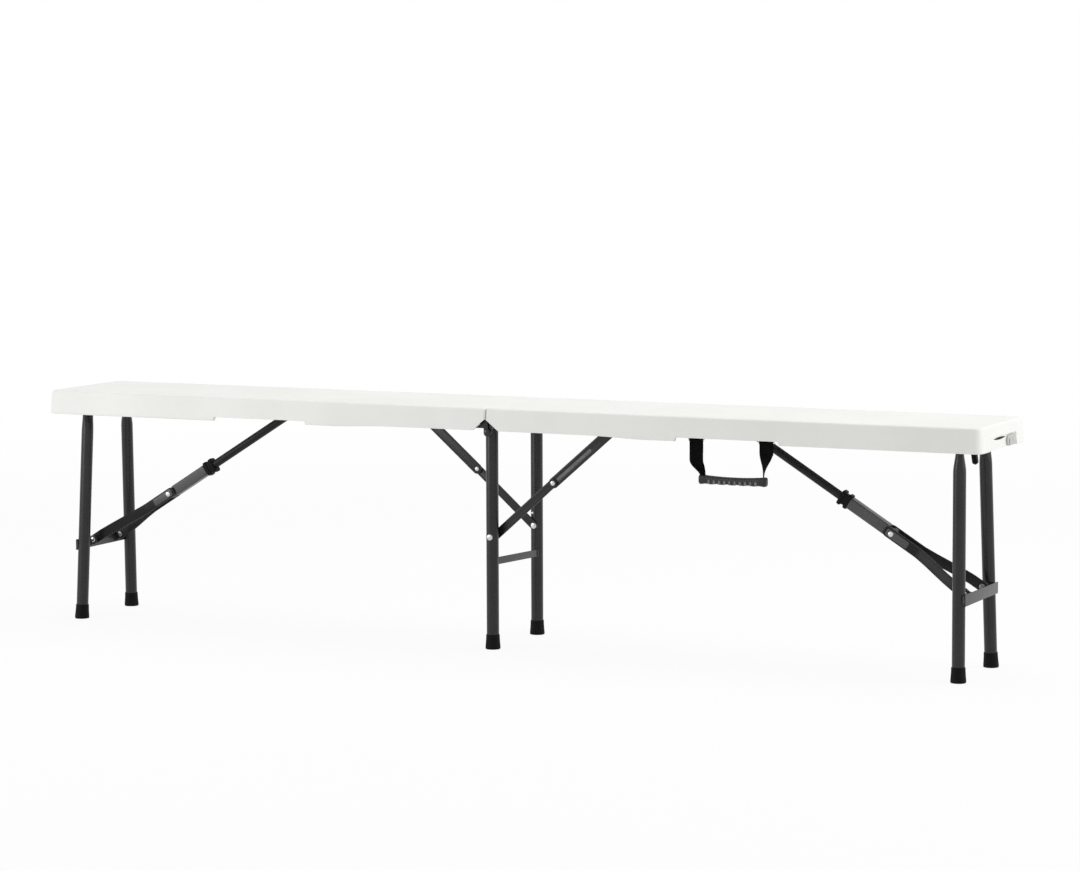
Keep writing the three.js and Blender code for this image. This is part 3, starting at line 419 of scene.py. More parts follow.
def filled(loops: list[np.ndarray]) -> np.ndarray:
    """Fills an outer loop, less the loops that lie in it, with triangles that turn one way.

    Args:
        loops: The outer loop and then the inner ones, each shaped (n, 2).

    Returns:
        Rows of three point numbers, counted through all the loops.
    """
    flat = np.concatenate(loops)
    counts = [len(loop) for loop in loops]
    firsts = np.cumsum([0] + counts[:-1])
    edges = np.concatenate([
        np.stack([first + np.arange(count), first + (np.arange(count) + 1) % count], axis=1)
        for first, count in zip(firsts, counts)
    ])
    found = delaunay_2d_cdt([Vector(p) for p in flat], edges.tolist(), [], 0, 1e-7)
    source = np.array([origin[0] for origin in found[3]])
    split = source[np.array([list(f) for f in found[2]])]
    middle = flat[split].mean(axis=1)
    kept = inside(middle, loops[0])
    for loop in loops[1:]:
        kept &= ~inside(middle, loop)
    split = split[kept]
    corners = flat[split]
    way = np.cross(corners[:, 1] - corners[:, 0], corners[:, 2] - corners[:, 0])
    return np.where(way[:, None] > 0, split, split[:, ::-1])


def plate(
    outline: np.ndarray,
    low: float,
    high: float,
    holes: tuple[np.ndarray, ...] = (),
    edge: float = 0.4,
    plane: Plane = Plane.XZ,
    steps: int = 3,
    pocket: np.ndarray | None = None,
    pocket_depth: float = 0.0,
) -> Skin:
    """Makes a flat plate with holes, rounded edges and at most one pocket in its low face.

    Round every loop the edge is carried as a profile: inset e (1 - sin a) at e (1 - cos a) from a
    face. The two faces and the pocket's floor are filled between the inset loops.

    Args:
        outline: The outer loop, shaped (n, 2).
        low: Where the plate starts across its plane.
        high: Where it ends.
        holes: The loops of its holes.
        edge: The edge radius.
        plane: The plane that the loops are drawn in.
        steps: Steps in each edge.
        pocket: The loop of a pocket in the low face.
        pocket_depth: How deep the pocket is.

    Returns:
        The plate.
    """
    loops = [counterclockwise(outline)] + [counterclockwise(hole, False) for hole in holes]
    angle = np.linspace(0, QUARTER, steps + 1)
    inset = edge * (1 - np.sin(angle))
    depth = edge * (1 - np.cos(angle))
    across = np.concatenate([low + depth, (high - depth)[::-1]])
    through = (np.concatenate([inset, inset[::-1]]), across)
    rims = [(loop, *through) for loop in loops]
    if pocket is not None:
        sunk = np.append(low + depth, low + pocket_depth)
        rims.append((counterclockwise(pocket, False), np.append(inset, 0.0), sunk))
    points, quads, faces, start = [], [], [], 0
    for loop, insets, heights in rims:
        along = np.roll(loop, -1, axis=0) - np.roll(loop, 1, axis=0)
        along = along / np.linalg.norm(along, axis=1, keepdims=True)
        outward = np.stack([along[:, 1], -along[:, 0]], axis=1)
        flat = loop[None] - insets[:, None, None] * outward[None]
        number = start + np.arange(flat.shape[0] * flat.shape[1]).reshape(flat.shape[:2])
        quads.append(banded(number))
        points.append(grid_of(flat[..., 0], flat[..., 1], heights[:, None]).reshape(-1, 3))
        faces.append((flat[0], number[0], flat[-1], number[-1]))
        start += number.size
    whole = faces[: len(loops)]
    near = np.concatenate([face[1] for face in faces])[filled([face[0] for face in faces])]
    far = np.concatenate([face[3] for face in whole])[filled([face[2] for face in whole])]
    floors = [face[3][filled([face[2]])][:, ::-1] for face in faces[len(loops):]]
    triangles = np.concatenate([near[:, ::-1], far, *floors])
    u, v, w = np.concatenate(points).T
    order = [u, w, v] if plane is Plane.XZ else [w, u, v]
    placed = np.stack(order, axis=1)
    return Skin(placed, np.concatenate(quads), triangles, np.zeros((len(placed), 2))).outward()


def link_outline(length: float, half: float, steps: int = 16) -> np.ndarray:
    """Returns a flat link with round ends about zero and about length, shaped (points, 2).

    The ends are half circles: (length + h cos a, h sin a) and (-h cos a, -h sin a).

    Args:
        length: The distance between the eyes.
        half: Half the width.
        steps: Steps in each end.

    Returns:
        The outline.
    """
    angle = np.linspace(-QUARTER, QUARTER, steps + 1)
    return np.concatenate([arc(half, angle, (length, 0)), -arc(half, angle)])


def bar(
    start: Triple,
    end: Triple,
    half_side: float,
    half_over: float,
    side: Triple,
    radius: float = 0.5,
    corner: float = 1.0,
) -> Skin:
    """Makes a straight bar of rectangular section with soft edges and softened ends.

    The section shrinks over the last stretch as corner (1 - sqrt(1 - t^2)), t from 0 to 1.

    Args:
        start: One end.
        end: The other end.
        half_side: Half its size along side.
        half_over: Half its other size.
        side: The direction of the first size.
        radius: The radius of its long edges.
        corner: How far its ends round off.

    Returns:
        The bar.
    """
    a, b = np.array(start, float), np.array(end, float)
    length = float(np.linalg.norm(b - a))
    reach = min(corner, radius * 0.9)
    t = np.linspace(1, 0, 5)
    near = reach * (1 - np.sqrt(1 - t * t))
    stations = np.concatenate([reach * (1 - t), length - reach * (1 - t[::-1])])
    shrink = np.concatenate([near, near[::-1]])
    section = soft_rectangle(half_side, half_over, radius)
    sign = np.sign(section)
    sections = section[None] - sign[None] * shrink[:, None, None]
    path = a + (b - a) * (stations / length)[:, None]
    return skin_of(carried(sections, path, side))


def bead(start: np.ndarray, end: np.ndarray, radius: float, side: Triple) -> Skin:
    """Makes a weld bead: a round section whose radius is r sqrt(1 - t^6) (1 + 0.12 sin) along it.

    Args:
        start: Where the bead starts.
        end: Where it ends.
        radius: Its radius.
        side: A direction that isn't along it.

    Returns:
        The bead.
    """
    share = np.linspace(0, 1, 34)
    t = 2 * share - 1
    length = float(np.linalg.norm(end - start))
    ripples = 1 + 0.12 * np.sin(share * length / 1.4 * FULL_TURN)
    size = radius * np.sqrt(np.clip(1 - t ** 6, 0.02, 1)) * ripples
    sections = ring(1, 14)[None] * size[:, None, None]
    return skin_of(carried(sections, start + (end - start) * share[:, None], side))


@dataclass(frozen=True)
class Wire:
    """A socket of a material, with arithmetic that adds the Math nodes that it needs."""

    graph: "Graph"
    socket: bpy.types.NodeSocket

    def _with(self, operation: str, first: object, second: object) -> "Wire":
        """Adds one Math node and returns its result."""
        node = self.graph.node("ShaderNodeMath", {"operation": operation}, {0: first, 1: second})
        return Wire(self.graph, node.outputs[0])

    def __add__(self, other: object) -> "Wire":
        """Adds."""
        return self._with("ADD", self, other)

    def __radd__(self, other: object) -> "Wire":
        """Adds."""
        return self._with("ADD", other, self)

    def __sub__(self, other: object) -> "Wire":
        """Subtracts."""
        return self._with("SUBTRACT", self, other)

    def __mul__(self, other: object) -> "Wire":
        """Multiplies."""
        return self._with("MULTIPLY", self, other)

    def sine(self) -> "Wire":
        """Returns the sine."""
        return self._with("SINE", self, 0.0)

    def size(self) -> "Wire":
        """Returns the value without its sign."""
        return self._with("ABSOLUTE", self, 0.0)

    def larger(self, other: object) -> "Wire":
        """Returns the larger of two values."""
        return self._with("MAXIMUM", self, other)

    def smaller(self, other: object) -> "Wire":
        """Returns the smaller of two values."""
        return self._with("MINIMUM", self, other)

    def between(self, low: float, high: float) -> "Wire":
        """Returns 0 below low, 1 above high and a smooth step between."""
        node = self.graph.node(
            "ShaderNodeMapRange",
            {"interpolation_type": "SMOOTHSTEP"},
            {"Value": self, "From Min": low, "From Max": high},
        )
        return Wire(self.graph, node.outputs["Result"])


class Graph:
    """The node tree of one material or world, with one method that makes every node."""

    def __init__(self, tree: bpy.types.NodeTree) -> None:
        """Empties the tree.

        Args:
            tree: The tree to fill.
        """
        self.tree = tree
        tree.nodes.clear()

    def node(
        self, kind: str, settings: dict | None = None, inputs: dict | None = None
    ) -> bpy.types.Node:
        """Makes a node, sets it up and feeds its sockets.

        Args:
            kind: The node's type name.
            settings: Its properties, which are set first.
            inputs: Its sockets by name, identifier or number, each with a value or a Wire.

        Returns:
            The node.
        """
        made = self.tree.nodes.new(kind)
        for name, value in (settings or {}).items():
            setattr(made, name, value)
        by_identifier = {socket.identifier: socket for socket in made.inputs}
        for key, value in (inputs or {}).items():
            socket = by_identifier.get(key) if isinstance(key, str) else None
            socket = socket or made.inputs[key]
            if isinstance(value, Wire):
                self.tree.links.new(value.socket, socket)
            else:
                socket.default_value = value
        return made

    def wire(
        self, kind: str, output: str | int, settings: dict | None = None, inputs: dict | None = None
    ) -> Wire:
        """Makes a node and returns one of its outputs."""
        return Wire(self, self.node(kind, settings, inputs).outputs[output])

    def place(self) -> Wire:
        """Returns the Object coordinates, in metres."""
        return self.wire("ShaderNodeTexCoord", "Object")

    def stretched(self, place: Wire, scale: Triple) -> Wire:
        """Returns coordinates multiplied along each axis."""
        return self.wire(
            "ShaderNodeVectorMath", "Vector", {"operation": "MULTIPLY"}, {0: place, 1: scale}
        )

    def noise(self, place: Wire, scale: float, detail: float = 2.0, rough: float = 0.5) -> Wire:
        """Returns noise about 0.5 at so many patches a metre."""
        return self.wire(
            "ShaderNodeTexNoise",
            "Fac",
            None,
            {"Vector": place, "Scale": scale, "Detail": detail, "Roughness": rough},
        )

    def cells(self, place: Wire, scale: float) -> Wire:
        """Returns the distance to the nearest cell middle, at so many cells a metre."""
        return self.wire(
            "ShaderNodeTexVoronoi",
            "Distance",
            {"feature": "SMOOTH_F1"},
            {"Vector": place, "Scale": scale, "Smoothness": 0.6},
        )

    def blended(self, factor: Wire, first: tuple, second: tuple) -> Wire:
        """Returns a colour between two, by a factor from 0 to 1."""
        node = self.node(
            "ShaderNodeMix",
            {"data_type": "RGBA"},
            {"Factor_Float": factor, "A_Color": (*first, 1.0), "B_Color": (*second, 1.0)},
        )
        return Wire(self, next(o for o in node.outputs if o.identifier == "Result_Color"))


class Surface(Enum):
    """The relief of a finish."""

    PEBBLE = "pebble"
    ORANGE_PEEL = "orange peel"
    BRUSHED = "brushed"
    FINE = "fine"
    WOVEN = "woven"


@dataclass(frozen=True)
class Finish:
    """One material: its colours, its gloss and its relief."""

    name: str
    slot: str
    surface: Surface
    colour: Triple
    drift_colour: Triple
    roughness: float
    roughness_swing: float
    grain: float
    relief: float
    metallic: float = 0.0
    specular: float = 0.5
    drift: float = 60.0

    def height(self, graph: Graph) -> Wire:
        """Builds the relief's height, from 0 to about 1.

        Args:
            graph: The material's tree.

        Returns:
            The height.
        """
        place = graph.place()
        per_metre = 1 / (self.grain * MM)
        if self.surface is Surface.PEBBLE:
            return graph.cells(place, per_metre) * 0.8 + graph.noise(place, per_metre * 2.3) * 0.35
        if self.surface is Surface.ORANGE_PEEL:
            return graph.noise(place, per_metre, 1.5, 0.4)
        if self.surface is Surface.BRUSHED:
            return graph.noise(graph.stretched(place, (1.0, 0.12, 1.0)), per_metre, 3.0, 0.6)
        if self.surface is Surface.WOVEN:
            run = graph.wire("ShaderNodeUVMap", "UV", {"uv_map": "run"})
            split = graph.node("ShaderNodeSeparateXYZ", None, {0: run})
            across, along = (Wire(graph, split.outputs[axis]) for axis in "XY")
            rib = ((along + (across * 0.9).size()) * (FULL_TURN / self.grain)).sine() * 0.5 + 0.5
            yarn = (across * (FULL_TURN / (self.grain * 0.62))).sine() * 0.5 + 0.5
            return rib * 0.65 + yarn * 0.35
        return graph.noise(place, per_metre, 3.0, 0.55)

    def material(self) -> bpy.types.Material:
        """Builds the material once, and returns the same one after that."""
        known = bpy.data.materials.get(self.name)
        if known is not None:
            return known
        made = bpy.data.materials.new(self.name)
        made.use_nodes = True
        graph = Graph(made.node_tree)
        place = graph.place()
        clouds = graph.noise(place, 1 / (self.drift * MM), 3.0, 0.55).between(0.32, 0.7)
        height = self.height(graph)
        tone = (clouds * 0.7 + height * 0.3).smaller(1.0).larger(0.0)
        streaked = graph.stretched(place, (1.0, 2.6, 1.7))
        smears = graph.noise(streaked, 1 / (self.drift * 0.35 * MM), 4.0, 0.6)
        rough = self.roughness + (smears - 0.5) * (2 * self.roughness_swing)
        bump = graph.wire(
            "ShaderNodeBump",
            "Normal",
            None,
            {"Height": height, "Strength": 1.0, "Distance": self.relief * MM},
        )
        shader = graph.node(
            "ShaderNodeBsdfPrincipled",
            None,
            {
                "Base Color": graph.blended(tone, self.colour, self.drift_colour),
                "Roughness": rough,
                "Metallic": self.metallic,
                "Specular IOR Level": self.specular,
                "Normal": bump,
            },
        )
        graph.node("ShaderNodeOutputMaterial", None, {"Surface": Wire(graph, shader.outputs[0])})
        return made


SEAT_PLASTIC = Finish(
    "seat_plastic", "shell_white", Surface.PEBBLE,
    (0.845, 0.845, 0.815), (0.80, 0.80, 0.77), 0.46, 0.07, 1.3, 0.05, drift=140.0,
)
POWDER_COAT = Finish(
    "charcoal_powder_coat", "frame_steel", Surface.ORANGE_PEEL,
    (0.009, 0.009, 0.0105), (0.015, 0.015, 0.017), 0.27, 0.06, 1.1, 0.04, specular=0.36, drift=45.0,
)
BRACE_COAT = Finish(
    "brace_powder_coat", "frame_steel", Surface.ORANGE_PEEL,
    (0.010, 0.010, 0.0115), (0.016, 0.016, 0.018), 0.40, 0.07, 1.1, 0.04, specular=0.17, drift=30.0,
)
BAR_COAT = Finish(
    "bar_powder_coat", "frame_steel", Surface.ORANGE_PEEL,
    (0.032, 0.028, 0.029), (0.040, 0.036, 0.037), 0.34, 0.06, 1.1, 0.03, specular=0.5, drift=45.0,
)
# The brace's charcoal powder coat with a base colour several times lighter: a painted reflection of
# the front light on the flat faces of the lock sleeve and the elbow plates
SLEEVE_COAT_PAINTED_REFLECTION = Finish(
    "sleeve_coat_painted_reflection", "frame_steel", Surface.ORANGE_PEEL,
    (0.048, 0.047, 0.047), (0.066, 0.064, 0.064), 0.36, 0.07, 1.1, 0.03, drift=24.0,
)
WORN_STEEL = Finish(
    "worn_steel", "frame_steel", Surface.BRUSHED,
    (0.085, 0.085, 0.085), (0.16, 0.16, 0.16), 0.40, 0.10, 0.8, 0.012, drift=11.0,
)
DULL_ZINC = Finish(
    "dull_zinc", "zinc_steel", Surface.BRUSHED,
    (0.22, 0.22, 0.23), (0.15, 0.15, 0.16), 0.42, 0.08, 0.5, 0.012, metallic=1.0, drift=9.0,
)
ZINC = Finish(
    "bright_zinc", "zinc_steel", Surface.BRUSHED,
    (0.66, 0.67, 0.69), (0.52, 0.53, 0.55), 0.30, 0.08, 0.5, 0.012, metallic=1.0, drift=9.0,
)
BLACK_PLASTIC = Finish(
    "black_moulded_plastic", "black_plastic", Surface.FINE,
    (0.0020, 0.0020, 0.0022), (0.0042, 0.0042, 0.0045), 0.50, 0.08, 0.7, 0.03, specular=0.12,
    drift=22.0,
)
GRIP_PLASTIC = Finish(
    "grip_plastic", "black_plastic", Surface.FINE,
    (0.0035, 0.0035, 0.0038), (0.007, 0.007, 0.0075), 0.36, 0.08, 0.7, 0.03, specular=0.45,
    drift=22.0,
)
RIB_PLASTIC = Finish(
    "worn_rib_plastic", "black_plastic", Surface.FINE,
    (0.10, 0.10, 0.10), (0.19, 0.19, 0.19), 0.45, 0.08, 0.6, 0.03, drift=6.0,
)
FOOT_RUBBER = Finish(
    "moulded_foot_rubber", "foot_rubber", Surface.FINE,
    (0.0028, 0.0028, 0.0028), (0.0055, 0.0054, 0.0054), 0.62, 0.08, 0.9, 0.06, specular=0.10,
    drift=18.0,
)
WEBBING = Finish(
    "woven_black_webbing", "black_webbing", Surface.WOVEN,
    (0.0012, 0.0012, 0.0013), (0.004, 0.004, 0.0044), 0.80, 0.05, 1.9, 0.28, specular=0.06,
    drift=14.0,
)
THREAD = Finish(
    "black_thread", "black_webbing", Surface.FINE,
    (0.004, 0.004, 0.0045), (0.007, 0.007, 0.0075), 0.7, 0.05, 0.4, 0.03, specular=0.02, drift=8.0,
)
LATCH_PLASTIC = Finish(
    "pale_grey_plastic", "latch_grey", Surface.FINE,
    (0.50, 0.51, 0.49), (0.44, 0.45, 0.43), 0.48, 0.06, 0.9, 0.03, drift=20.0,
)


class Side(Enum):
    """One half of the bench. The left half is the right one turned half a turn about Z."""

    RIGHT = "right"
    LEFT = "left"

    def placed(self, skin: Skin) -> Skin:
        """Returns a skin made for the right half where it belongs on this half."""
        if self is Side.RIGHT:
            return skin
        return skin.moved(skin.points * [-1, -1, 1])

    def facing(self, way: int) -> str:
        """Returns front or rear for a piece made at the right half's front (-1) or rear (+1)."""
        return "front" if (self is Side.RIGHT) == (way < 0) else "rear"


def shown(
    name: str,
    skin: Skin,
    finish: Finish,
    body: str,
    nodes: tuple[str, ...] = (),
    crease: float = 38.0,
) -> bpy.types.Object:
    """Puts a skin into the scene as a finished piece that rides on a body.

    Args:
        name: The piece's name.
        skin: Its surface in millimetres.
        finish: Its finish.
        body: The body that it rides on.
        nodes: The nodes that it stands for.
        crease: The angle in degrees above which an edge stays sharp.

    Returns:
        The piece.
    """
    mesh = bpy.data.meshes.new(name)
    faces = skin.triangles.tolist() + skin.quads.tolist()
    mesh.from_pydata((skin.points * MM).tolist(), [], faces)
    if skin.runs.any():
        layer = mesh.uv_layers.new(name="run")
        index = np.empty(len(mesh.loops), np.int32)
        mesh.loops.foreach_get("vertex_index", index)
        layer.data.foreach_set("uv", skin.runs[index].astype(np.float32).reshape(-1))
    mesh.polygons.foreach_set("use_smooth", np.ones(len(mesh.polygons), bool))
    mesh.set_sharp_from_angle(angle=math.radians(crease))
    mesh.materials.append(finish.material())
    mesh.update()
    piece = bpy.data.objects.new(name, mesh)
    bpy.context.scene.collection.objects.link(piece)
    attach(piece, body)
    if nodes:
        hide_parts(*nodes)
    log.info("%s: %d faces on %s", name, len(faces), body)
    return piece


@dataclass(frozen=True)
class Bench:
    """The main sizes, which the pieces share."""

    seat_height: float = 430.0
    half_length: float = 910.0
    seat_width: float = 240.0
    skirt_depth: float = 43.0
    wall: float = 8.0
    ceiling: float = 421.0
    hinge_height: float = 386.2
    leg_radius: float = 11.0
    centre_leg_y: float = 91.0
    leg_pivot: Pair = (855.0, 404.0)
    brace_pivot: Pair = (444.0, 402.0)
    arm_pivot: Pair = (859.5, 144.0)
    web_front: float = 104.0
    web_rear: float = 107.6
    web: float = 3.0
    rod_bore: float = 5.3

    @property
    def lip(self) -> float:
        """The height of the skirt's lower edge."""
        return self.seat_height - self.skirt_depth

    @property
    def rail_top(self) -> float:
        """The height of the top of the rails."""
        return self.ceiling - 0.3

    def web_face(self, way: int) -> float:
        """Returns how far the front (-1) or rear (1) rail's inner face lies from the middle."""
        return self.web_front if way < 0 else self.web_rear


BENCH = Bench()


@dataclass
class HalfPart:
    """A part that each half of the bench has. It is built where the right half has it."""

    side: Side

    def show(
        self, name: str, skin: Skin, finish: Finish, body: str, node: str = "", crease: float = 38.0
    ) -> None:
        """Shows a skin on this half, with the half's name before each of its names.

        Args:
            name: The piece's name.
            skin: Its surface, where the right half has it.
            finish: Its finish.
            body: The body that it rides on.
            node: The node that it stands for, if it does.
            crease: The angle in degrees above which an edge stays sharp.
        """
        side = self.side.value
        nodes = (f"{side}_{node}",) if node else ()
        shown(f"{side}_{name}", self.side.placed(skin), finish, f"{side}_{body}", nodes, crease)


@dataclass
class SeatHalf(HalfPart):
    """A moulded seat half: top panel, drafted skirt, lip, and dimpled underside."""

    draft: float = 2.5
    top_radius: float = 4.5
    lip_radius: float = 1.2
    far_corner: float = 16.0
    fold_corner: float = 3.0
    fold_face: float = 0.35
    ceiling_fillet: float = 1.2
    notch: Pair = (363.0, 551.0)
    notch_height: float = 6.5
    notch_slope: float = 2.0
    seam_rise: float = 23.0
    seam_reach: float = 30.0
    fold_rise: float = 3.5
    fold_rise_reach: Pair = (190.0, 310.0)
    recess_half: float = 72.0
    recess_rise: float = 22.5
    recess_depth: float = 4.5
    dimple_columns: int = 13
    dimple_rows: int = 3
    dimple_margin: float = 42.0
    dimple_pitch: float = 52.0
    dimple_radius: float = 9.0
    dimple_foot: float = 5.0
    dimple_depth: float = 4.5
    spacing: float = 4.0
    corner_steps: int = 10
    wall_heights: tuple[float, ...] = (
        388.2, 391, 394, 397, 400, 403, 405.5, 407.4, 408.4, 409, 409.6, 410.6, 413, 417, 421, 425.5
    )

    def stations(self, low: float, high: float, close: list[Triple]) -> np.ndarray:
        """Returns places between two ends, closer together about some middles.

        Args:
            low: The first place.
            high: The last place.
            close: Middles, reaches and spacings of the closer stretches.

        Returns:
            The places in order.
        """
        parts = [np.linspace(low, high, int((high - low) / self.spacing) + 1)]
        for middle, reach, gap in close:
            run = np.arange(middle - reach, middle + reach + gap / 2, gap)
            parts.append(run[(run > low + 0.2) & (run < high - 0.2)])
        return np.unique(np.round(np.concatenate(parts), 3))

    def outline(
        self, fold_x: float, far_x: float, half_y: float, fold_r: float, far_r: float
    ) -> np.ndarray:
        """Returns a level loop round the half, with the same number of points at every size.

        It runs along the front from the fold, round the far end and back along the rear. A corner
        is its middle plus radius times (cos a, sin a).

        Args:
            fold_x: Where the loop starts at the fold.
            far_x: Where it ends.
            half_y: Half its width.
            fold_r: The corner radius at the fold.
            far_r: The corner radius at the far end.

        Returns:
            The loop, shaped (points, 2).
        """
        xs = self.long_places.copy()
        xs[0], xs[-1] = fold_x + fold_r, far_x - far_r
        xs[1:-1] = np.clip(xs[1:-1], xs[0] + 0.01 * np.arange(1, len(xs) - 1), xs[-1])
        share = self.end_places
        far_y = share * (half_y - far_r)
        fold_y = share * (half_y - fold_r)
        angle = np.linspace(0, QUARTER, self.corner_steps + 1)[1:-1]
        return np.concatenate([
            grid_of(xs, -half_y),
            arc(far_r, -QUARTER + angle, (xs[-1], -half_y + far_r)),
            grid_of(far_x, far_y),
            arc(far_r, angle, (xs[-1], half_y - far_r)),
            grid_of(xs[::-1], half_y),
            arc(fold_r, QUARTER + angle, (xs[0], half_y - fold_r)),
            grid_of(fold_x, fold_y[::-1]),
            arc(fold_r, 2 * QUARTER + angle, (xs[0], -half_y + fold_r)),
        ])

    def lip_heights(self, x: np.ndarray) -> np.ndarray:
        """Returns the lip's height: level, raised over the notch, and slanted up to the fold.

        A smooth step lifts it a little along the stretch by the fold.

        Args:
            x: Places along the bench.

        Returns:
            The heights.
        """
        start, end = self.notch
        raised = np.minimum(
            np.clip((x - start + self.notch_slope) / self.notch_slope, 0, 1),
            np.clip((end + self.notch_slope - x) / self.notch_slope, 0, 1),
        )
        steep = self.seam_rise / (self.seam_reach - 2 * self.fold_face)
        seam = BENCH.lip + self.seam_rise - np.clip(x - 2 * self.fold_face, 0, None) * steep
        arch = self.fold_rise * (1 - ramp(x, *self.fold_rise_reach))
        return np.maximum(BENCH.lip + np.maximum(self.notch_height * raised, arch), seam)

    def dimples(self, flat: np.ndarray) -> np.ndarray:
        """Returns how far the underside is pressed up: the depth times a smooth step from its rim.

        Args:
            flat: Places in X and Y, shaped (..., 2).

        Returns:
            The rises, shaped as the places.
        """
        run = BENCH.half_length - 2 * self.dimple_margin
        columns = run * np.arange(self.dimple_columns) / (self.dimple_columns - 1)
        columns += self.dimple_margin
        rows = (np.arange(self.dimple_rows) - (self.dimple_rows - 1) / 2) * self.dimple_pitch
        x = np.abs(flat[..., 0, None] - columns).min(axis=-1)
        y = np.abs(flat[..., 1, None] - rows).min(axis=-1)
        away = np.hypot(x, y)
        return self.dimple_depth * (1 - ramp(away, self.dimple_foot, self.dimple_radius))

    def recessed(self, grid: np.ndarray) -> np.ndarray:
        """Presses the latch recess into the end wall, by a smooth step of the distance inside it.

        Args:
            grid: Points of the outer wall.

        Returns:
            The points with those of the end wall moved inwards.
        """
        x, y, z = grid[..., 0], grid[..., 1], grid[..., 2]
        top = BENCH.lip + self.recess_rise
        beside, below = self.recess_half - np.abs(y), top - z
        corner = (beside + below - self.recess_depth) * math.sqrt(0.5)
        within = np.minimum(np.minimum(beside, below), corner)
        end_wall = x > BENCH.half_length - self.far_corner
        pressed = self.recess_depth * ramp(within, 0, 1.3) * end_wall
        moved = grid.copy()
        moved[..., 0] = np.minimum(x, np.where(pressed > 0, BENCH.half_length - pressed, x))
        return moved

    def skin(self) -> Skin:
        """Builds the whole half as one grid, from the ceiling's spine round the lip to the top's.

        Rows run up the section and columns round the outline. Inside the walls a point is its
        loop's point drawn towards the spine by a share s, so both ends close on a line.

        Returns:
            The skin.
        """
        b = BENCH
        edge_z = b.seat_height - self.top_radius
        start, end = self.notch
        self.long_places = self.stations(
            self.fold_face + self.fold_corner,
            b.half_length - self.far_corner,
            [(start, 3.0, 0.5), (end, 3.0, 0.5), (14.0, 14.0, 1.5), (self.seam_reach, 1.0, 0.5)],
        )
        half = b.seat_width / 2 - self.far_corner
        self.end_places = self.stations(-half, half, [(-70.5, 3.0, 0.5), (70.5, 3.0, 0.5)]) / half

        def outer(inset: float) -> np.ndarray:
            """Returns the outer loop at an inset."""
            return self.outline(
                self.fold_face + inset / 2,
                b.half_length - inset,
                b.seat_width / 2 - inset,
                self.fold_corner,
                self.far_corner - inset,
            )

        def inner(inset: float) -> np.ndarray:
            """Returns the inner loop at an inset."""
            corner = self.far_corner - b.wall + self.ceiling_fillet - inset
            return self.outline(
                self.fold_face + b.wall + inset,
                b.half_length - b.wall - inset,
                b.seat_width / 2 - b.wall - inset,
                self.fold_corner + self.ceiling_fillet - inset,
                corner,
            )

        def drawn(loop: np.ndarray, shares: np.ndarray) -> np.ndarray:
            """Returns rows from a loop towards its spine."""
            reach = b.seat_width / 2 - b.wall
            spine = np.stack(
                [np.clip(loop[:, 0], reach, b.half_length - reach), np.zeros(len(loop))], axis=1
            )
            return loop[None] + shares[:, None, None] * (spine - loop)[None]

        def rows(flat: np.ndarray, height: np.ndarray | float) -> np.ndarray:
            """Returns rows of points from level places and heights."""
            return grid_of(flat[..., 0], flat[..., 1], height)

        def bent(
            loop: Callable[[float], np.ndarray], start: float, r: float, z: float, turn: np.ndarray
        ) -> np.ndarray:
            """Returns rows round an edge: inset start + r (1 - cos a) at z - r (1 - sin a)."""
            return np.concatenate([
                rows(loop(start + r * (1 - math.cos(a)))[None], z - r * (1 - math.sin(a)))
                for a in turn
            ])

        def lip_rows(share: np.ndarray, turn: np.ndarray) -> np.ndarray:
            """Returns rows of the lip, each at a share of the way from its inside out."""
            flat = base_in[None] + share[..., None] * (base_out - base_in)[None]
            return rows(flat, lip[None] + r * (1 - np.sin(turn)))

        base_out, base_in, drafted = outer(0), inner(0), outer(self.draft)
        lip = self.lip_heights(base_out[:, 0])
        r = self.lip_radius
        under = drawn(inner(self.ceiling_fillet), np.linspace(1, 0, 30))
        ceiling = rows(under, b.ceiling + self.dimples(under))
        fillet = bent(inner, 0, self.ceiling_fillet, b.ceiling, np.linspace(QUARTER, 0, 4)[1:])
        top_in = b.ceiling - self.ceiling_fillet
        down = np.linspace(0, 1, 8)[1:, None]
        inside_height = top_in + (lip + r - top_in)[None] * down
        inside_wall = rows(np.repeat(base_in[None], 7, axis=0), inside_height)
        turn = np.linspace(0, QUARTER, 4)[1:, None]
        share = r * (1 - np.cos(turn)) / b.wall
        lip_in, lip_out = lip_rows(share, turn), lip_rows(1 - share[::-1], turn[::-1])
        marks = np.array(self.wall_heights)
        up = ((marks - marks[0]) / (marks[-1] - marks[0]))[:, None]
        height = (lip + r)[None] + (edge_z - lip - r)[None] * up
        lean = np.clip((height - b.lip - r) / (edge_z - b.lip - r), 0, 1)[..., None]
        wall = rows(base_out[None] + lean * (drafted - base_out)[None], height)
        turn = np.linspace(0, QUARTER, 9)[1:]
        edge = bent(outer, self.draft, self.top_radius, b.seat_height, turn)
        flat_top = drawn(outer(self.draft + self.top_radius), np.linspace(0, 1, 7)[1:])
        top = rows(flat_top, b.seat_height)
        outside = self.recessed(np.concatenate([lip_out, wall]))
        grid = np.concatenate([ceiling, fillet, inside_wall, lip_in, outside, edge, top])
        return skin_of(grid, Ends.GATHERED)

    def build(self) -> None:
        """Makes the half's moulding."""
        self.show("seat_moulding", self.skin(), SEAT_PLASTIC, "half", "seat_shell", 50.0)


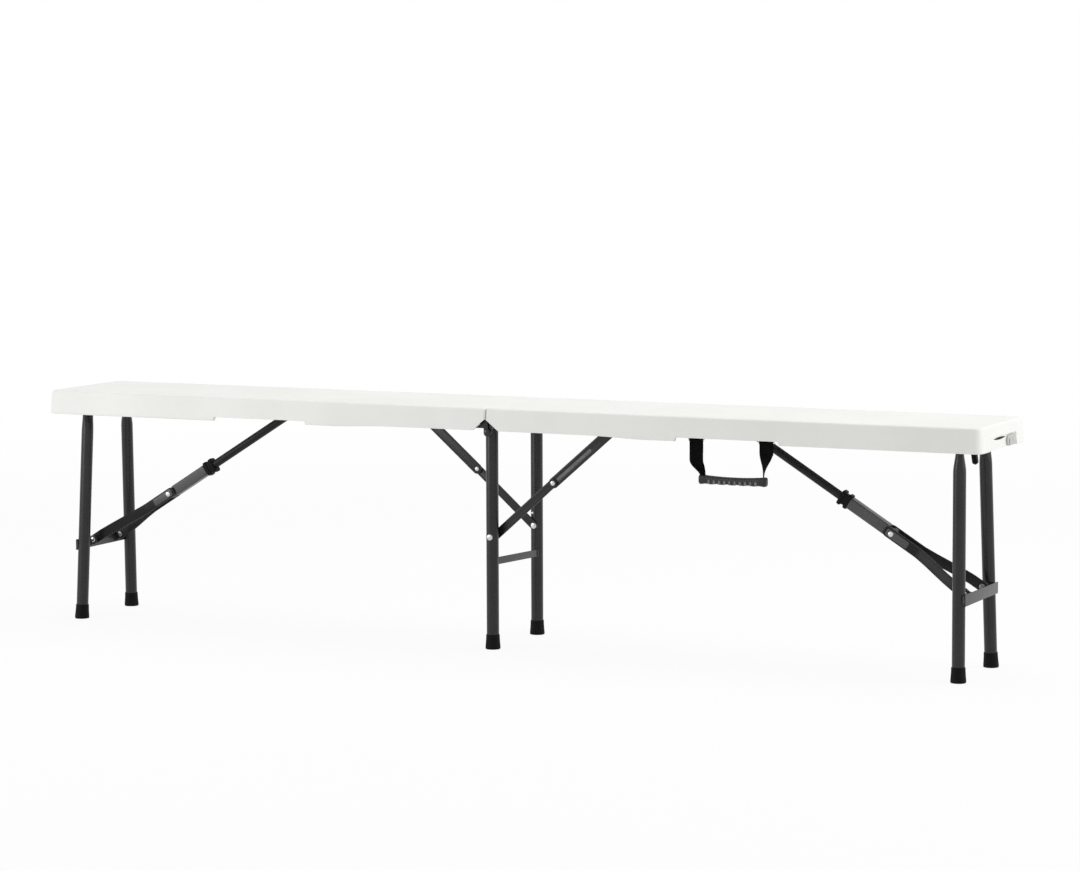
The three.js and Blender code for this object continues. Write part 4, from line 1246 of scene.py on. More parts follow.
@dataclass
class SeatSteel(HalfPart):
    """What is fixed under a seat half: two rails, two cross rods, a stay bracket and screws."""

    rail_start: float = 14.0
    rail_end: float = 889.0
    rail_depth: float = 26.7
    cheek_top: float = 409.7
    fold_overlap: float = 1.2
    flange: float = 12.0
    flange_thickness: float = 2.0
    ear_radius: float = 7.0
    pin_hole: float = 4.3
    rod_radius: float = 5.0
    head_radius: float = 6.5
    head_height: float = 0.9
    screws: int = 7
    screw_run: Pair = (62.0, 838.0)
    hanger_half: float = 12.0
    hanger_eye: float = 8.2
    stay_x: float = 227.4
    stay_z: float = 398.0
    stay_face: float = 73.65
    stud_end: float = 76.45

    def rail(self, way: int) -> Skin:
        """Builds a rail: a web that fills the seam notch, with a hinge ear, and a flange above.

        Args:
            way: -1 for the front rail and 1 for the rear one.

        Returns:
            The rail.
        """
        b = BENCH
        inner = b.web_face(way)
        top, bottom = b.rail_top, b.rail_top - self.rail_depth
        angle = np.linspace(math.acos(-self.fold_overlap / self.ear_radius), 4 * QUARTER, 33)
        ear = arc(self.ear_radius, angle, (0, b.hinge_height))
        edge = -self.fold_overlap
        outline = np.concatenate([
            [[self.rail_end, bottom], [self.rail_end, top - 1], [self.rail_end - 1, top]],
            [[self.rail_start, top], [self.rail_start, self.cheek_top], [edge, self.cheek_top]],
            ear,
            [[self.ear_radius, bottom]],
        ])
        holes = (
            ring(self.pin_hole, 28) + [0, b.hinge_height],
            *(
                ring(self.rod_radius + RUNNING_GAP, 28) + list(pivot)
                for pivot in (b.leg_pivot, b.brace_pivot)
            ),
        )
        faces = sorted([way * inner, way * (inner + b.web)])
        web = plate(outline, faces[0], faces[1], holes, 0.5)
        middle = way * (inner - self.flange / 2)
        z = top - self.flange_thickness / 2
        flange = bar(
            (self.rail_start, middle, z),
            (self.rail_end, middle, z),
            self.flange / 2,
            self.flange_thickness / 2,
            (0, 1, 0),
            0.45,
        )
        return together(web, flange)

    def screw_row(self, way: int) -> Skin:
        """Builds the screws that hold a rail's flange: low domes on washers.

        Args:
            way: -1 for the front rail and 1 for the rear one.

        Returns:
            The screws.
        """
        b = BENCH
        y, z = way * (b.web_face(way) - self.flange / 2 - 0.5), b.rail_top - self.flange_thickness
        places = np.linspace(*self.screw_run, self.screws)
        head, washer = domed(3.6, 2.3, 1.7, 6), sleeve(4.8, 2.0, 0.0, 0.7, 0.25)
        heads = [turned(head, (x, y, z), (0, 0, -1), 20) for x in places]
        washers = [turned(washer, (x, y, z), (0, 0, -1), 24, Ends.WRAPPED) for x in places]
        return together(*heads, *washers)

    def cross_rod(self, x: float, z: float) -> Skin:
        """Builds a rod across both rails with a low riveted head outside each.

        Args:
            x: Its place along the bench.
            z: Its height.

        Returns:
            The rod.
        """
        b = BENCH
        ends = (-(b.web_front + b.web) - HEAD_GAP, b.web_rear + b.web + HEAD_GAP)
        head = domed(self.head_radius, self.head_height, 0.6, 6)
        return riveted((x, z), ends, (self.rod_radius, 36), 0.2, (head, head))

    def stay_bracket(self) -> Skin:
        """Builds the bracket that the slotted stay hangs from, with its stud."""
        top, x, z = BENCH.rail_top, self.stay_x, self.stay_z
        face = -self.stay_face
        angle = np.linspace(2 * QUARTER, 4 * QUARTER, 17)
        eye, half = arc(self.hanger_eye, angle, (x, z)), self.hanger_half
        outline = np.concatenate([[[x - half, top]], eye, [[x + half, top]]])
        hanger = plate(outline, face, face + 3, (), 0.5)
        low, high = (x - half, face + 8, top - 1.5), (x + half, face + 8, top - 1.5)
        flange = bar(low, high, 8, 1.5, (0, 1, 0), 0.6)
        stud = rod((x, face + 1, z), (x, -self.stud_end, z), 3.5, 0.4, 28)
        return together(hanger, flange, stud)

    def build(self) -> None:
        """Makes the rails, rods, bracket and screws."""
        for way in (-1, 1):
            facing = self.side.facing(way)
            self.show(f"rail_{facing}", self.rail(way), POWDER_COAT, "half", f"seat_rail_{facing}")
            self.show(f"rail_screws_{facing}", self.screw_row(way), ZINC, "half")
        for piece, node, (x, z) in (
            ("leg_cross_rod", "leg_rod", BENCH.leg_pivot),
            ("brace_cross_rod", "brace_rod_pin", BENCH.brace_pivot),
        ):
            self.show(piece, self.cross_rod(x, z), ZINC, "half", node)
        self.show("stay_hanger", self.stay_bracket(), POWDER_COAT, "half", "stay_bracket")


# Radius and height of a foot cap's section along its leg, in millimetres
FOOT_SECTION = np.array([
    [0, -5], [12.6, -5], [12.6, -0.2], [13.0, 0.4], [13.3, 1.2], [13.42, 2.4], [13.38, 4.2],
    [13.0, 8.0], [12.6, 13.0], [12.3, 18.0], [12.12, 22.0], [12.08, 24.6], [11.95, 25.5],
    [11.7, 26.0], [11.2, 26.0], [11.2, 22.0], [0, 22.0],
])
# The section of the bright heads on the brace and its studs
BRIGHT_HEAD = domed(4.8, 1.9, 1.4)


def foot_cap(foot: np.ndarray, top: np.ndarray) -> Skin:
    """Builds a rubber foot cap round a leg's lower end, flat on the floor.

    The profile flares evenly from a thin upper rim to a rounded sole. Points below the floor
    are set to z = 0, so that a leaning cap still stands flat.

    Args:
        foot: Where the leg's axis meets the floor.
        top: A higher point on the axis.

    Returns:
        The cap.
    """
    skin = turned(FOOT_SECTION, tuple(foot), tuple(top - foot), 48)
    points = skin.points.copy()
    points[:, 2] = np.maximum(points[:, 2], 0)
    return skin.moved(points)


@dataclass
class CentreFrame:
    """The middle leg frame: two legs with foot caps, a flat bar, hinge pins and rivets."""

    bar_height: float = 151.0
    bar_depth: float = 13.0
    bar_thickness: float = 2.5
    bar_skew: float = 5.0
    bar_tilt: float = 2.0
    top: float = 392.2
    rivet_height: float = 200.0
    stop_height: float = 223.0
    stop_shift: float = 3.5
    crown: float = 1.6
    rivet_end: float = 76.9
    bead_half: float = 5.6
    bead_radius: float = 1.4
    bead_offset: float = 1.5

    def leg(self, way: int) -> Skin:
        """Builds a leg tube with a rounded closed top.

        Args:
            way: -1 for the front leg and 1 for the rear one.

        Returns:
            The leg.
        """
        r, y = BENCH.leg_radius, way * BENCH.centre_leg_y
        angle = np.linspace(0, QUARTER, 7)
        crown = arc(self.crown, angle, (r - self.crown, self.top - self.crown))
        profile = np.concatenate([[[0, 4.5], [r, 4.5]], crown, [[0, self.top]]])
        return turned(profile, (0, y, 0), (0, 0, 1), 56)

    def crossbar(self) -> Skin:
        """Builds the flat bar between the legs, with a weld bead at each of its ends."""
        reach = BENCH.centre_leg_y - BENCH.leg_radius + 0.3
        z, s, t = self.bar_height + self.bar_tilt / 2, self.bar_skew, self.bar_tilt
        end = reach + 0.9
        half_x, half_z = self.bar_thickness / 2, self.bar_depth / 2
        strip = bar((-s, -end, z + t), (s, end, z - t), half_x, half_z, (1, 0, 0), 0.7)
        half_bead = np.array([0, 0, self.bead_half])
        beads = [
            bead(middle - half_bead, middle + half_bead, self.bead_radius, (1, 0, 0))
            for way in (-1, 1)
            for off in (-self.bead_offset, self.bead_offset)
            for middle in [np.array([way * s + off, way * reach, z - way * t])]
        ]
        return together(strip, *beads)

    def hinge_pin(self) -> Skin:
        """Builds a hinge pin with a domed head at each end, for the front."""
        b = BENCH
        ends = (-(b.web_rear + b.web) - RUNNING_GAP, -b.centre_leg_y + b.leg_radius + HEAD_GAP)
        head = domed(6.5, 2.0, 1.4)
        return riveted((0, b.hinge_height), ends, (4.0, 32), 0.4, (head, head))

    def stay_rivet(self) -> Skin:
        """Builds the rivet that holds the lower stay link on the front leg."""
        ends = (-BENCH.centre_leg_y - BENCH.leg_radius - HEAD_GAP, -self.rivet_end)
        heads = (domed(5.5, 2.0, 1.6), domed(5.5, 2.0, 1.5))
        return riveted((0, self.rivet_height), ends, (3.0, 28), 0.4, heads)

    def stop_stud(self) -> Skin:
        """Builds the bright stud that stops the lower stay link, for the front leg."""
        y = -BENCH.centre_leg_y + BENCH.leg_radius
        profile = domed(2.4, 2.9, 1.0, 6)
        return turned(profile, (self.stop_shift, y - 1.2, self.stop_height), (0, 1, 0), 24)

    def build(self) -> None:
        """Makes the frame."""
        body = "centre_frame"
        for way, facing, side in ((-1, "front", Side.RIGHT), (1, "rear", Side.LEFT)):
            y = way * BENCH.centre_leg_y
            cap = foot_cap(np.array([0, y, 0.0]), np.array([0, y, 400.0]))
            tube = (f"centre_leg_{facing}",)
            shown(f"centre_tube_{facing}", self.leg(way), POWDER_COAT, body, tube)
            shown(f"centre_foot_{facing}", cap, FOOT_RUBBER, body, (f"centre_foot_cap_{facing}",))
            pin, rivet = side.placed(self.hinge_pin()), side.placed(self.stay_rivet())
            shown(f"fold_pin_{facing}", pin, POWDER_COAT, body, (f"hinge_pin_{facing}",))
            shown(f"leg_rivet_{facing}", rivet, ZINC, body, (f"stay_leg_rivet_{facing}",))
            shown(f"stay_stop_{facing}", side.placed(self.stop_stud()), ZINC, body)
        shown("centre_strip", self.crossbar(), BAR_COAT, body, ("centre_crossbar",))


@dataclass
class LegFrame(HalfPart):
    """An outer leg frame: two leaning legs, foot caps, the tube they turn with and a flat bar."""

    foot_x: float = 863.0
    top_y: float = 66.0
    foot_y: float = 87.0
    neck_half: float = 6.7
    neck_reach: Pair = (50.0, 10.0)
    neck_turn: float = math.radians(18)
    tube_radius: float = 8.0
    bar_height: float = 138.0
    bar_depth: float = 20.0
    bar_thickness: float = 2.6
    bar_overhang: float = 7.2
    lug_y: float = 48.1
    lug: float = 3.0
    eye_radius: float = 9.0
    stud_radius: float = 4.0
    stud_end: float = 43.9
    lug_foot: float = 9.7
    weld_ring: Triple = (1.3, 1.4, 9.6)
    bead_half: float = 8.5
    bead_radius: float = 1.7
    bead_offset: float = 7.2
    bead_inset: float = 1.2

    def axis_point(self, way: int, height: float) -> np.ndarray:
        """Returns the point of a leg's axis at a height."""
        x, z = BENCH.leg_pivot
        share = 1 - height / z
        return np.array([
            x + (self.foot_x - x) * share,
            way * (self.top_y + (self.foot_y - self.top_y) * share),
            height,
        ])

    def leg(self, way: int) -> Skin:
        """Builds a leaning leg tube, necked in where it meets the tube above.

        Its section is round, and a smooth step flattens it one way over the top stretch.

        Args:
            way: -1 for the front leg and 1 for the rear one.

        Returns:
            The leg.
        """
        z = BENCH.leg_pivot[1]
        foot, top = self.axis_point(way, 4.5), self.axis_point(way, z - 5.0)
        length = float(np.linalg.norm(top - foot))
        low, high = np.linspace(0.5, length - 55, 24), np.linspace(length - 52, length, 24)
        h = np.concatenate([[0, 0], low, high, [length]])
        r = np.full(len(h), float(BENCH.leg_radius))
        r[0], r[-1] = 0, 0
        tube = turned(np.stack([r, h], axis=1), tuple(foot), tuple(top - foot), 56)
        axis = (top - foot) / length
        wide = np.array([math.sin(self.neck_turn), way * math.cos(self.neck_turn), 0.0])
        flat = np.cross(axis, wide)
        flat /= np.linalg.norm(flat)
        away = tube.points - foot
        along = away @ axis
        low, high = self.neck_reach
        shrink = (1 - self.neck_half / BENCH.leg_radius) * ramp(along, length - low, length - high)
        return tube.moved(tube.points - (shrink * (away @ flat))[:, None] * flat)

    def pivot_tube(self) -> Skin:
        """Builds the tube that turns on the leg's rod, with a weld ring each side of each leg.

        A weld ring's measures are its rise, half its width and its distance from the leg.
        """
        b = BENCH
        x, z = b.leg_pivot
        low, high = -b.web_front + RUNNING_GAP, b.web_rear - RUNNING_GAP
        barrel = sleeve(self.tube_radius, b.rod_bore, low, high, 0.5)
        tube = turned(barrel, (x, 0, z), (0, 1, 0), 48, Ends.WRAPPED)
        rise, half, gap = self.weld_ring
        outer, inner = self.tube_radius + rise, self.tube_radius - 0.4
        collars = [
            turned(profile, (x, 0, z), (0, 1, 0), 40, Ends.WRAPPED)
            for way in (-1, 1)
            for y in (way * self.top_y - gap, way * self.top_y + gap)
            for profile in [sleeve(outer, inner, y - half, y + half, 0.9)]
        ]
        return together(tube, *collars)

    def finger(self) -> Skin:
        """Builds the short black finger under the tube's middle, a round-edged leaning tongue."""
        x, z = BENCH.leg_pivot
        share = np.linspace(0, 1, 18)
        path = np.stack([x + 6 * share, np.zeros(18), z - 5 - 42 * share], axis=1)
        tip = np.sqrt(np.clip(1 - ((share - 0.9) / 0.1).clip(0, 1) ** 2, 0.03, 1))
        section = soft_rectangle(5.0, 4.5, 1.4)
        return skin_of(carried(section[None] * tip[:, None, None], path, (0, 1, 0)))

    def crossbar(self) -> Skin:
        """Builds the flat bar with its lugs, studs and weld beads."""
        b = BENCH
        low = self.bar_height - self.bar_depth / 2
        inner = float(self.axis_point(1, low)[0]) + b.leg_radius + RUNNING_GAP
        reach = float(self.axis_point(1, self.bar_height)[1]) + self.bar_overhang
        x, z = inner + self.bar_thickness / 2, self.bar_height
        half_x, half_z = self.bar_thickness / 2, self.bar_depth / 2
        pieces = [bar((x, -reach, z), (x, reach, z), half_x, half_z, (1, 0, 0), 0.9, 0.8)]
        ax, az = b.arm_pivot
        eye = arc(self.eye_radius, np.linspace(QUARTER, 3 * QUARTER, 19), (ax, az))
        outline = np.concatenate([eye, [[x, z - self.lug_foot], [x, z + self.lug_foot]]])
        for way in (-1, 1):
            faces = sorted([way * self.lug_y, way * (self.lug_y + self.lug)])
            pieces.append(plate(outline, faces[0], faces[1], (), 0.5))
            near, far = (ax, way * self.stud_end, az), (ax, way * (self.lug_y + 0.2), az)
            pieces.append(rod(near, far, self.stud_radius, 0.3, 28))
            leg_y = way * float(self.axis_point(1, z)[1])
            for off in (-self.bead_offset, self.bead_offset):
                foot = np.array([inner - self.bead_inset, leg_y + off, z - self.bead_half])
                head = np.array([inner - self.bead_inset, leg_y + off * 1.02, z + self.bead_half])
                pieces.append(bead(foot, head, self.bead_radius, (1, 0, 0)))
        return together(*pieces)

    def heads(self, profile: np.ndarray, y: float, outward: int) -> Skin:
        """Builds the domed heads of the studs, front and rear.

        Args:
            profile: The profile of a head.
            y: How far out the heads sit.
            outward: 1 for heads that face outwards and -1 for heads that face inwards.

        Returns:
            The heads.
        """
        ax, az = BENCH.arm_pivot
        return together(*[
            turned(profile, (ax, way * y, az), (0, outward * way, 0), 32) for way in (-1, 1)
        ])

    def build(self) -> None:
        """Makes the leg frame."""
        body = "outer_legs"
        for way in (-1, 1):
            facing = self.side.facing(way)
            cap = foot_cap(self.axis_point(way, 0), self.axis_point(way, 400))
            self.show(f"leg_tube_{facing}", self.leg(way), POWDER_COAT, body, f"outer_leg_{facing}")
            self.show(f"foot_{facing}", cap, FOOT_RUBBER, body, f"foot_cap_{facing}")
        self.show("turning_tube", self.pivot_tube(), POWDER_COAT, body, "leg_pivot_tube")
        if self.side is Side.RIGHT:
            self.show("tube_finger", self.finger(), BLACK_PLASTIC, body)
        self.show("leg_strip", self.crossbar(), BAR_COAT, body, "leg_crossbar")
        inner = self.heads(domed(5.2, 2.1, 1.5), self.stud_end, -1)
        outer = self.heads(BRIGHT_HEAD, self.lug_y + self.lug, 1)
        self.show("arm_stud_heads", inner, DULL_ZINC, body)
        self.show("lug_stud_heads", outer, ZINC, body)


@dataclass
class KneeBrace(HalfPart):
    """A knee brace: rod, sliding lock sleeve and collar, and two arms that spread to the legs."""

    rod_radius: float = 7.4
    rod_length: float = 320.035
    arm_length: float = 169.05
    hub_radius: float = 9.0
    hub_half: float = 12.0
    elbow_radius: float = 8.5
    elbow_half: float = 10.0
    arm_half: float = 9.0
    arm: float = 3.0
    arm_tip: float = 14.5
    arm_inner: float = 10.6
    arm_outer: float = 44.5
    arm_together: float = 56.0
    arm_straight: float = 22.0
    plate: float = 0.8
    plate_half: float = 6.6
    plate_reach: Pair = (-9.0, 36.0)
    lock_start: float = 228.135
    lock_length: float = 81.5
    lock_half: Pair = (9.8, 10.0)
    collar_length: float = 20.0
    collar_half: Pair = (9.8, 13.5)
    lock_edge: float = 1.2
    groove_depth: float = 1.5
    groove_half: float = 5.2
    waist: tuple[float, float, float, float] = (0.30, 0.38, 0.62, 0.70)
    waist_draw: Pair = (0.16, 0.24)
    ribs: int = 9
    rib_height: float = 0.22

    @property
    def angle(self) -> float:
        """The slope of the brace below the level."""
        (ax, az), (bx, bz) = BENCH.arm_pivot, BENCH.brace_pivot
        return math.atan2(bz - az, ax - bx)

    def leaning(self, skin: Skin, at: float = 0.0) -> Skin:
        """Returns a skin of the brace's own frame in the bench's, at a distance down the brace."""
        x, z = BENCH.brace_pivot
        return skin.shifted(x=at).turned_about_y(self.angle).shifted(x=x, z=z)

    def upper(self) -> Skin:
        """Builds the rod with a hub at each end."""
        end, reach = self.rod_length, self.elbow_half
        stations = np.concatenate([
            np.linspace(4, 20, 7), np.linspace(24, end - 26, 20), np.linspace(end - 22, end - 4, 7)
        ])
        shaft = skin_of(carried(ring(self.rod_radius, 40), grid_of(stations, 0.0, 0.0), (0, 1, 0)))
        barrel = sleeve(self.hub_radius, BENCH.rod_bore, -self.hub_half, self.hub_half, 0.8)
        seat_hub = turned(barrel, (0, 0, 0), (0, 1, 0), 40, Ends.WRAPPED)
        elbow_hub = rod((end, -reach, 0), (end, reach, 0), self.elbow_radius, 0.9, 40)
        return together(shaft, seat_hub, elbow_hub)

    def boxed(self, sections: np.ndarray, stations: np.ndarray) -> Skin:
        """Builds a sleeve whose outer sections are given, with a round bore for the rod.

        Rows go along the outside and back along the bore, and the last row joins the first.

        Args:
            sections: The outer sections, shaped (rows, columns, 2).
            stations: Where they lie along the rod.

        Returns:
            The sleeve.
        """
        columns = sections.shape[1]
        turn = np.arctan2(sections[0, :, 1], sections[0, :, 0])
        bore = arc(self.rod_radius + RUNNING_GAP, turn)
        rows = np.concatenate([sections, np.broadcast_to(bore, (2, columns, 2))])
        places = np.concatenate([stations, [stations[-1], stations[0]]])
        return skin_of(grid_of(places[:, None], rows[..., 0], rows[..., 1]), Ends.WRAPPED)

    def lock(self) -> Skin:
        """Builds the lock sleeve, a soft box with rounded ends and a groove pressed along it."""
        half_y, half_z = self.lock_half
        section = soft_rectangle(half_y, half_z, 3.2, 7)
        t, edge, length = np.linspace(0, 1, 5), self.lock_edge, self.lock_length
        pull = edge * (1 - np.sqrt(1 - (1 - t) ** 2))
        body = np.linspace(0.03, 0.97, 25) * length
        stations = np.concatenate([edge * t, body, length - edge * t[::-1]])
        shrink = np.concatenate([pull, np.zeros(25), pull[::-1]])
        sections = section[None] - np.sign(section)[None] * shrink[:, None, None]
        stop = 1 - ramp(stations, length - 12, length - 8)
        groove = self.groove_depth * ramp(stations, 6, 10) * stop
        side_face = np.exp(-((section[:, 1] / self.groove_half) ** 6))
        sections[..., 0] -= np.sign(section[:, 0])[None] * groove[:, None] * side_face[None]
        return self.boxed(sections, self.lock_start + stations)

    def collar(self) -> Skin:
        """Builds the plastic collar: two ribbed flanges with a waist between.

        The section is drawn in at the waist by a smooth step on each side of it.
        """
        half_y, half_z = self.collar_half
        section = soft_rectangle(half_y, half_z, 4.6, 8)
        share = np.linspace(0, 1, 45)
        inward = (np.abs(share - 0.5) - 0.43).clip(0) / 0.07
        end = 1.3 * (1 - np.sqrt(np.clip(1 - inward ** 2, 0, 1)))
        waist = ramp(share, *self.waist[:2]) * (1 - ramp(share, *self.waist[2:]))
        ribs = self.rib_height * (0.5 + 0.5 * np.cos(share * FULL_TURN * self.ribs))
        scale = np.stack([1 - draw * waist for draw in self.waist_draw], axis=1)
        sections = section[None] * scale[:, None, :]
        sections = sections - np.sign(section)[None] * (end + ribs)[:, None, None]
        start = self.lock_start - RUNNING_GAP - self.collar_length
        return self.boxed(sections, start + share * self.collar_length)

    def arm_skin(self, way: int) -> Skin:
        """Builds a flat arm, bent outwards, in its own frame from the elbow.

        Half its depth is R cos a over the round end, a going from zero to a quarter turn, and
        R sqrt(sin a) over the squarer end at the elbow. Its middle line goes from the inner to
        the outer place with a soft bend.

        Args:
            way: -1 for the front arm and 1 for the rear one.

        Returns:
            The arm.
        """
        turn = np.linspace(0, QUARTER, 12)
        near = -self.arm_tip + self.arm_half * (1 - np.cos(turn))
        far = self.arm_length + self.arm_half * np.sin(turn)
        middle = np.linspace(near[-1], self.arm_length, 42)[1:-1]
        x = np.concatenate([near, middle, far])
        square = self.arm_half * np.sin(turn) ** 0.5
        tip = self.arm_half * np.cos(turn)
        half = np.concatenate([square, np.full(len(middle), self.arm_half), tip])
        half = np.maximum(half, 0.3)
        return self.strip(x, half, way * self.arm_middle(x), self.arm)

    def arm_middle(self, x: np.ndarray) -> np.ndarray:
        """Returns how far out an arm's middle line lies at distances from the elbow.

        It is straight at both ends and goes over s - 0.035 sin(2 pi s) between, s from 0 to 1.
        """
        bent = self.arm_length - self.arm_together - self.arm_straight
        spread = np.clip((x - self.arm_together) / bent, 0, 1)
        bend = spread - 0.035 * np.sin(FULL_TURN * spread)
        return self.arm_inner + self.arm / 2 + (self.arm_outer - self.arm_inner) * bend

    def strip(self, x: np.ndarray, half: np.ndarray, y: np.ndarray, thickness: float) -> Skin:
        """Builds a flat strip with soft edges along the brace.

        Args:
            x: Distances along it.
            half: Half its depth at each.
            y: How far out its middle lies at each.
            thickness: Its thickness.

        Returns:
            The strip.
        """
        section = soft_rectangle(thickness / 2, 1.0, min(0.55, 0.45 * thickness), 3)
        unit = section[:, 1]
        inset = half[:, None] - (1 - np.abs(unit))[None]
        sections = grid_of(section[:, 0], np.sign(unit)[None] * np.maximum(inset, 0.1))
        return skin_of(carried(sections, grid_of(x, y, 0.0), (0, 1, 0)))

    def elbow_plate(self, way: int) -> Skin:
        """Builds the thin stiffening plate on an arm's outer face from the elbow on."""
        turn = np.linspace(0, QUARTER, 9)
        low, high = self.plate_reach
        near = low + 3 * (1 - np.cos(turn))
        far = high - 3 * (1 - np.sin(turn))
        x = np.concatenate([near, np.linspace(near[-1], far[0], 22)[1:-1], far])
        ends = 3 * (1 - np.sin(turn))
        half = self.plate_half - np.concatenate([ends, np.zeros(20), ends[::-1]])
        y = self.arm_middle(x) + (self.arm + self.plate) / 2 - 0.1
        return self.strip(x, half, way * y, self.plate)

    def elbow_rivet(self, way: int) -> Skin:
        """Builds the domed bright rivet head on an arm's outer face at the elbow."""
        y = way * (self.arm_inner + self.arm + self.plate - 0.2)
        return turned(BRIGHT_HEAD, (0, y, 0), (0, way, 0), 36)

    def build(self) -> None:
        """Makes the brace."""
        body = "brace_lower"
        upper, lock, collar = map(self.leaning, (self.upper(), self.lock(), self.collar()))
        self.show("brace_upper_rod", upper, BRACE_COAT, "brace_upper", "brace_rod")
        # The lock sleeve's lighter colour is painted reflection on the charcoal coat
        self.show("brace_lock", lock, SLEEVE_COAT_PAINTED_REFLECTION, "lock", "lock_sleeve")
        self.show("brace_collar", collar, BLACK_PLASTIC, "lock", "lock_collar")
        for way in (-1, 1):
            facing = self.side.facing(way)
            arm, rivet, stiffener = (
                self.leaning(skin, self.rod_length)
                for skin in (self.arm_skin(way), self.elbow_rivet(way), self.elbow_plate(way))
            )
            self.show(f"brace_flat_{facing}", arm, BRACE_COAT, body, f"brace_arm_{facing}")
            self.show(f"elbow_rivet_{facing}", rivet, ZINC, body)
            # The elbow plates share the sleeve's painted reflection
            self.show(f"elbow_plate_{facing}", stiffener, SLEEVE_COAT_PAINTED_REFLECTION, body)


@dataclass
class CentreStay(HalfPart):
    """A folding stay: a plain lower link on the centre leg and a slotted upper link."""

    foot: Pair = (0.0, 200.0)
    elbow: Pair = (112.5, 299.0)
    head: Pair = (227.4, 398.0)
    half: float = 7.6
    upper_half: float = 9.4
    lower_faces: Pair = (-79.55, -77.05)
    upper_faces: Pair = (-76.45, -73.95)
    slot_length: float = 92.0
    slot_half: float = 3.3
    slot_depth: float = 1.6

    def span(self, start: Pair) -> Pair:
        """Returns the length and the slope of a link that runs from a place to the elbow."""
        dx, dz = self.elbow[0] - start[0], self.elbow[1] - start[1]
        return math.hypot(dx, dz), math.atan2(dz, dx)

    def set_out(self, skin: Skin, start: Pair) -> Skin:
        """Returns a skin of a link's own frame where the link belongs."""
        return skin.turned_about_y(-self.span(start)[1]).shifted(x=start[0], z=start[1])

    def slot(self, play: float = 0.0) -> np.ndarray:
        """Returns the slot's loop in the upper link's own frame, drawn in by some play."""
        shift = self.span(self.head)[0] - self.slot_length
        return link_outline(self.slot_length, self.slot_half - play, 12) + [shift, 0]

    def lower(self) -> Skin:
        """Builds the plain link."""
        length = self.span(self.foot)[0]
        holes = (ring(3.3, 28), ring(3.3, 28) + [length, 0])
        link = plate(link_outline(length, self.half), *self.lower_faces, holes, 0.5)
        return self.set_out(link, self.foot)

    def upper(self) -> Skin:
        """Builds the slotted link, wider than the plain one, with a slot closed behind."""
        link = plate(
            link_outline(self.span(self.head)[0], self.upper_half),
            *self.upper_faces,
            (ring(3.8, 28),),
            0.5,
            pocket=self.slot(),
            pocket_depth=self.slot_depth,
        )
        return self.set_out(link, self.head)

    def track(self) -> Skin:
        """Builds the rubbed strip on the floor of the slot."""
        floor = self.upper_faces[0] + self.slot_depth
        strip = plate(self.slot(0.1), floor - 0.25, floor + 0.1, (), 0.1)
        return self.set_out(strip, self.head)

    def inner_head(self) -> Skin:
        """Builds the bright head on the inner face of the upper link at the slot's end."""
        x, z = self.elbow
        return turned(domed(4.0, 1.7, 1.3), (x, self.upper_faces[1], z), (0, 1, 0), 28)

    def rivet(self) -> Skin:
        """Builds the elbow rivet with a domed head outside the lower link."""
        x, z = self.elbow
        outer = self.lower_faces[0] - HEAD_GAP
        return together(
            rod((x, outer - 0.3, z), (x, self.lower_faces[1], z), 3.0, 0.3, 28),
            turned(domed(4.5, 1.9, 1.5), (x, outer, z), (0, -1, 0), 32),
        )

    def peened_end(self) -> Skin:
        """Builds the flat peened end of the stud, which the lower link passes when folded."""
        x, z = self.head
        return turned(domed(5.2, 0.3, 0.15, 6), (x, self.upper_faces[0], z), (0, -1, 0), 32)

    def build(self) -> None:
        """Makes the stay."""
        lower, upper = "stay_lower_link", "stay_upper_link"
        self.show("stay_plain_link", self.lower(), POWDER_COAT, lower, "stay_lower")
        self.show("stay_slotted_link", self.upper(), POWDER_COAT, upper, "stay_upper")
        self.show("stay_rivet", self.rivet(), ZINC, lower, "stay_elbow_rivet")
        self.show("stay_stud_head", self.peened_end(), DULL_ZINC, "half")
        self.show("stay_slot_track", self.track(), WORN_STEEL, upper)
        self.show("stay_inner_head", self.inner_head(), ZINC, upper)


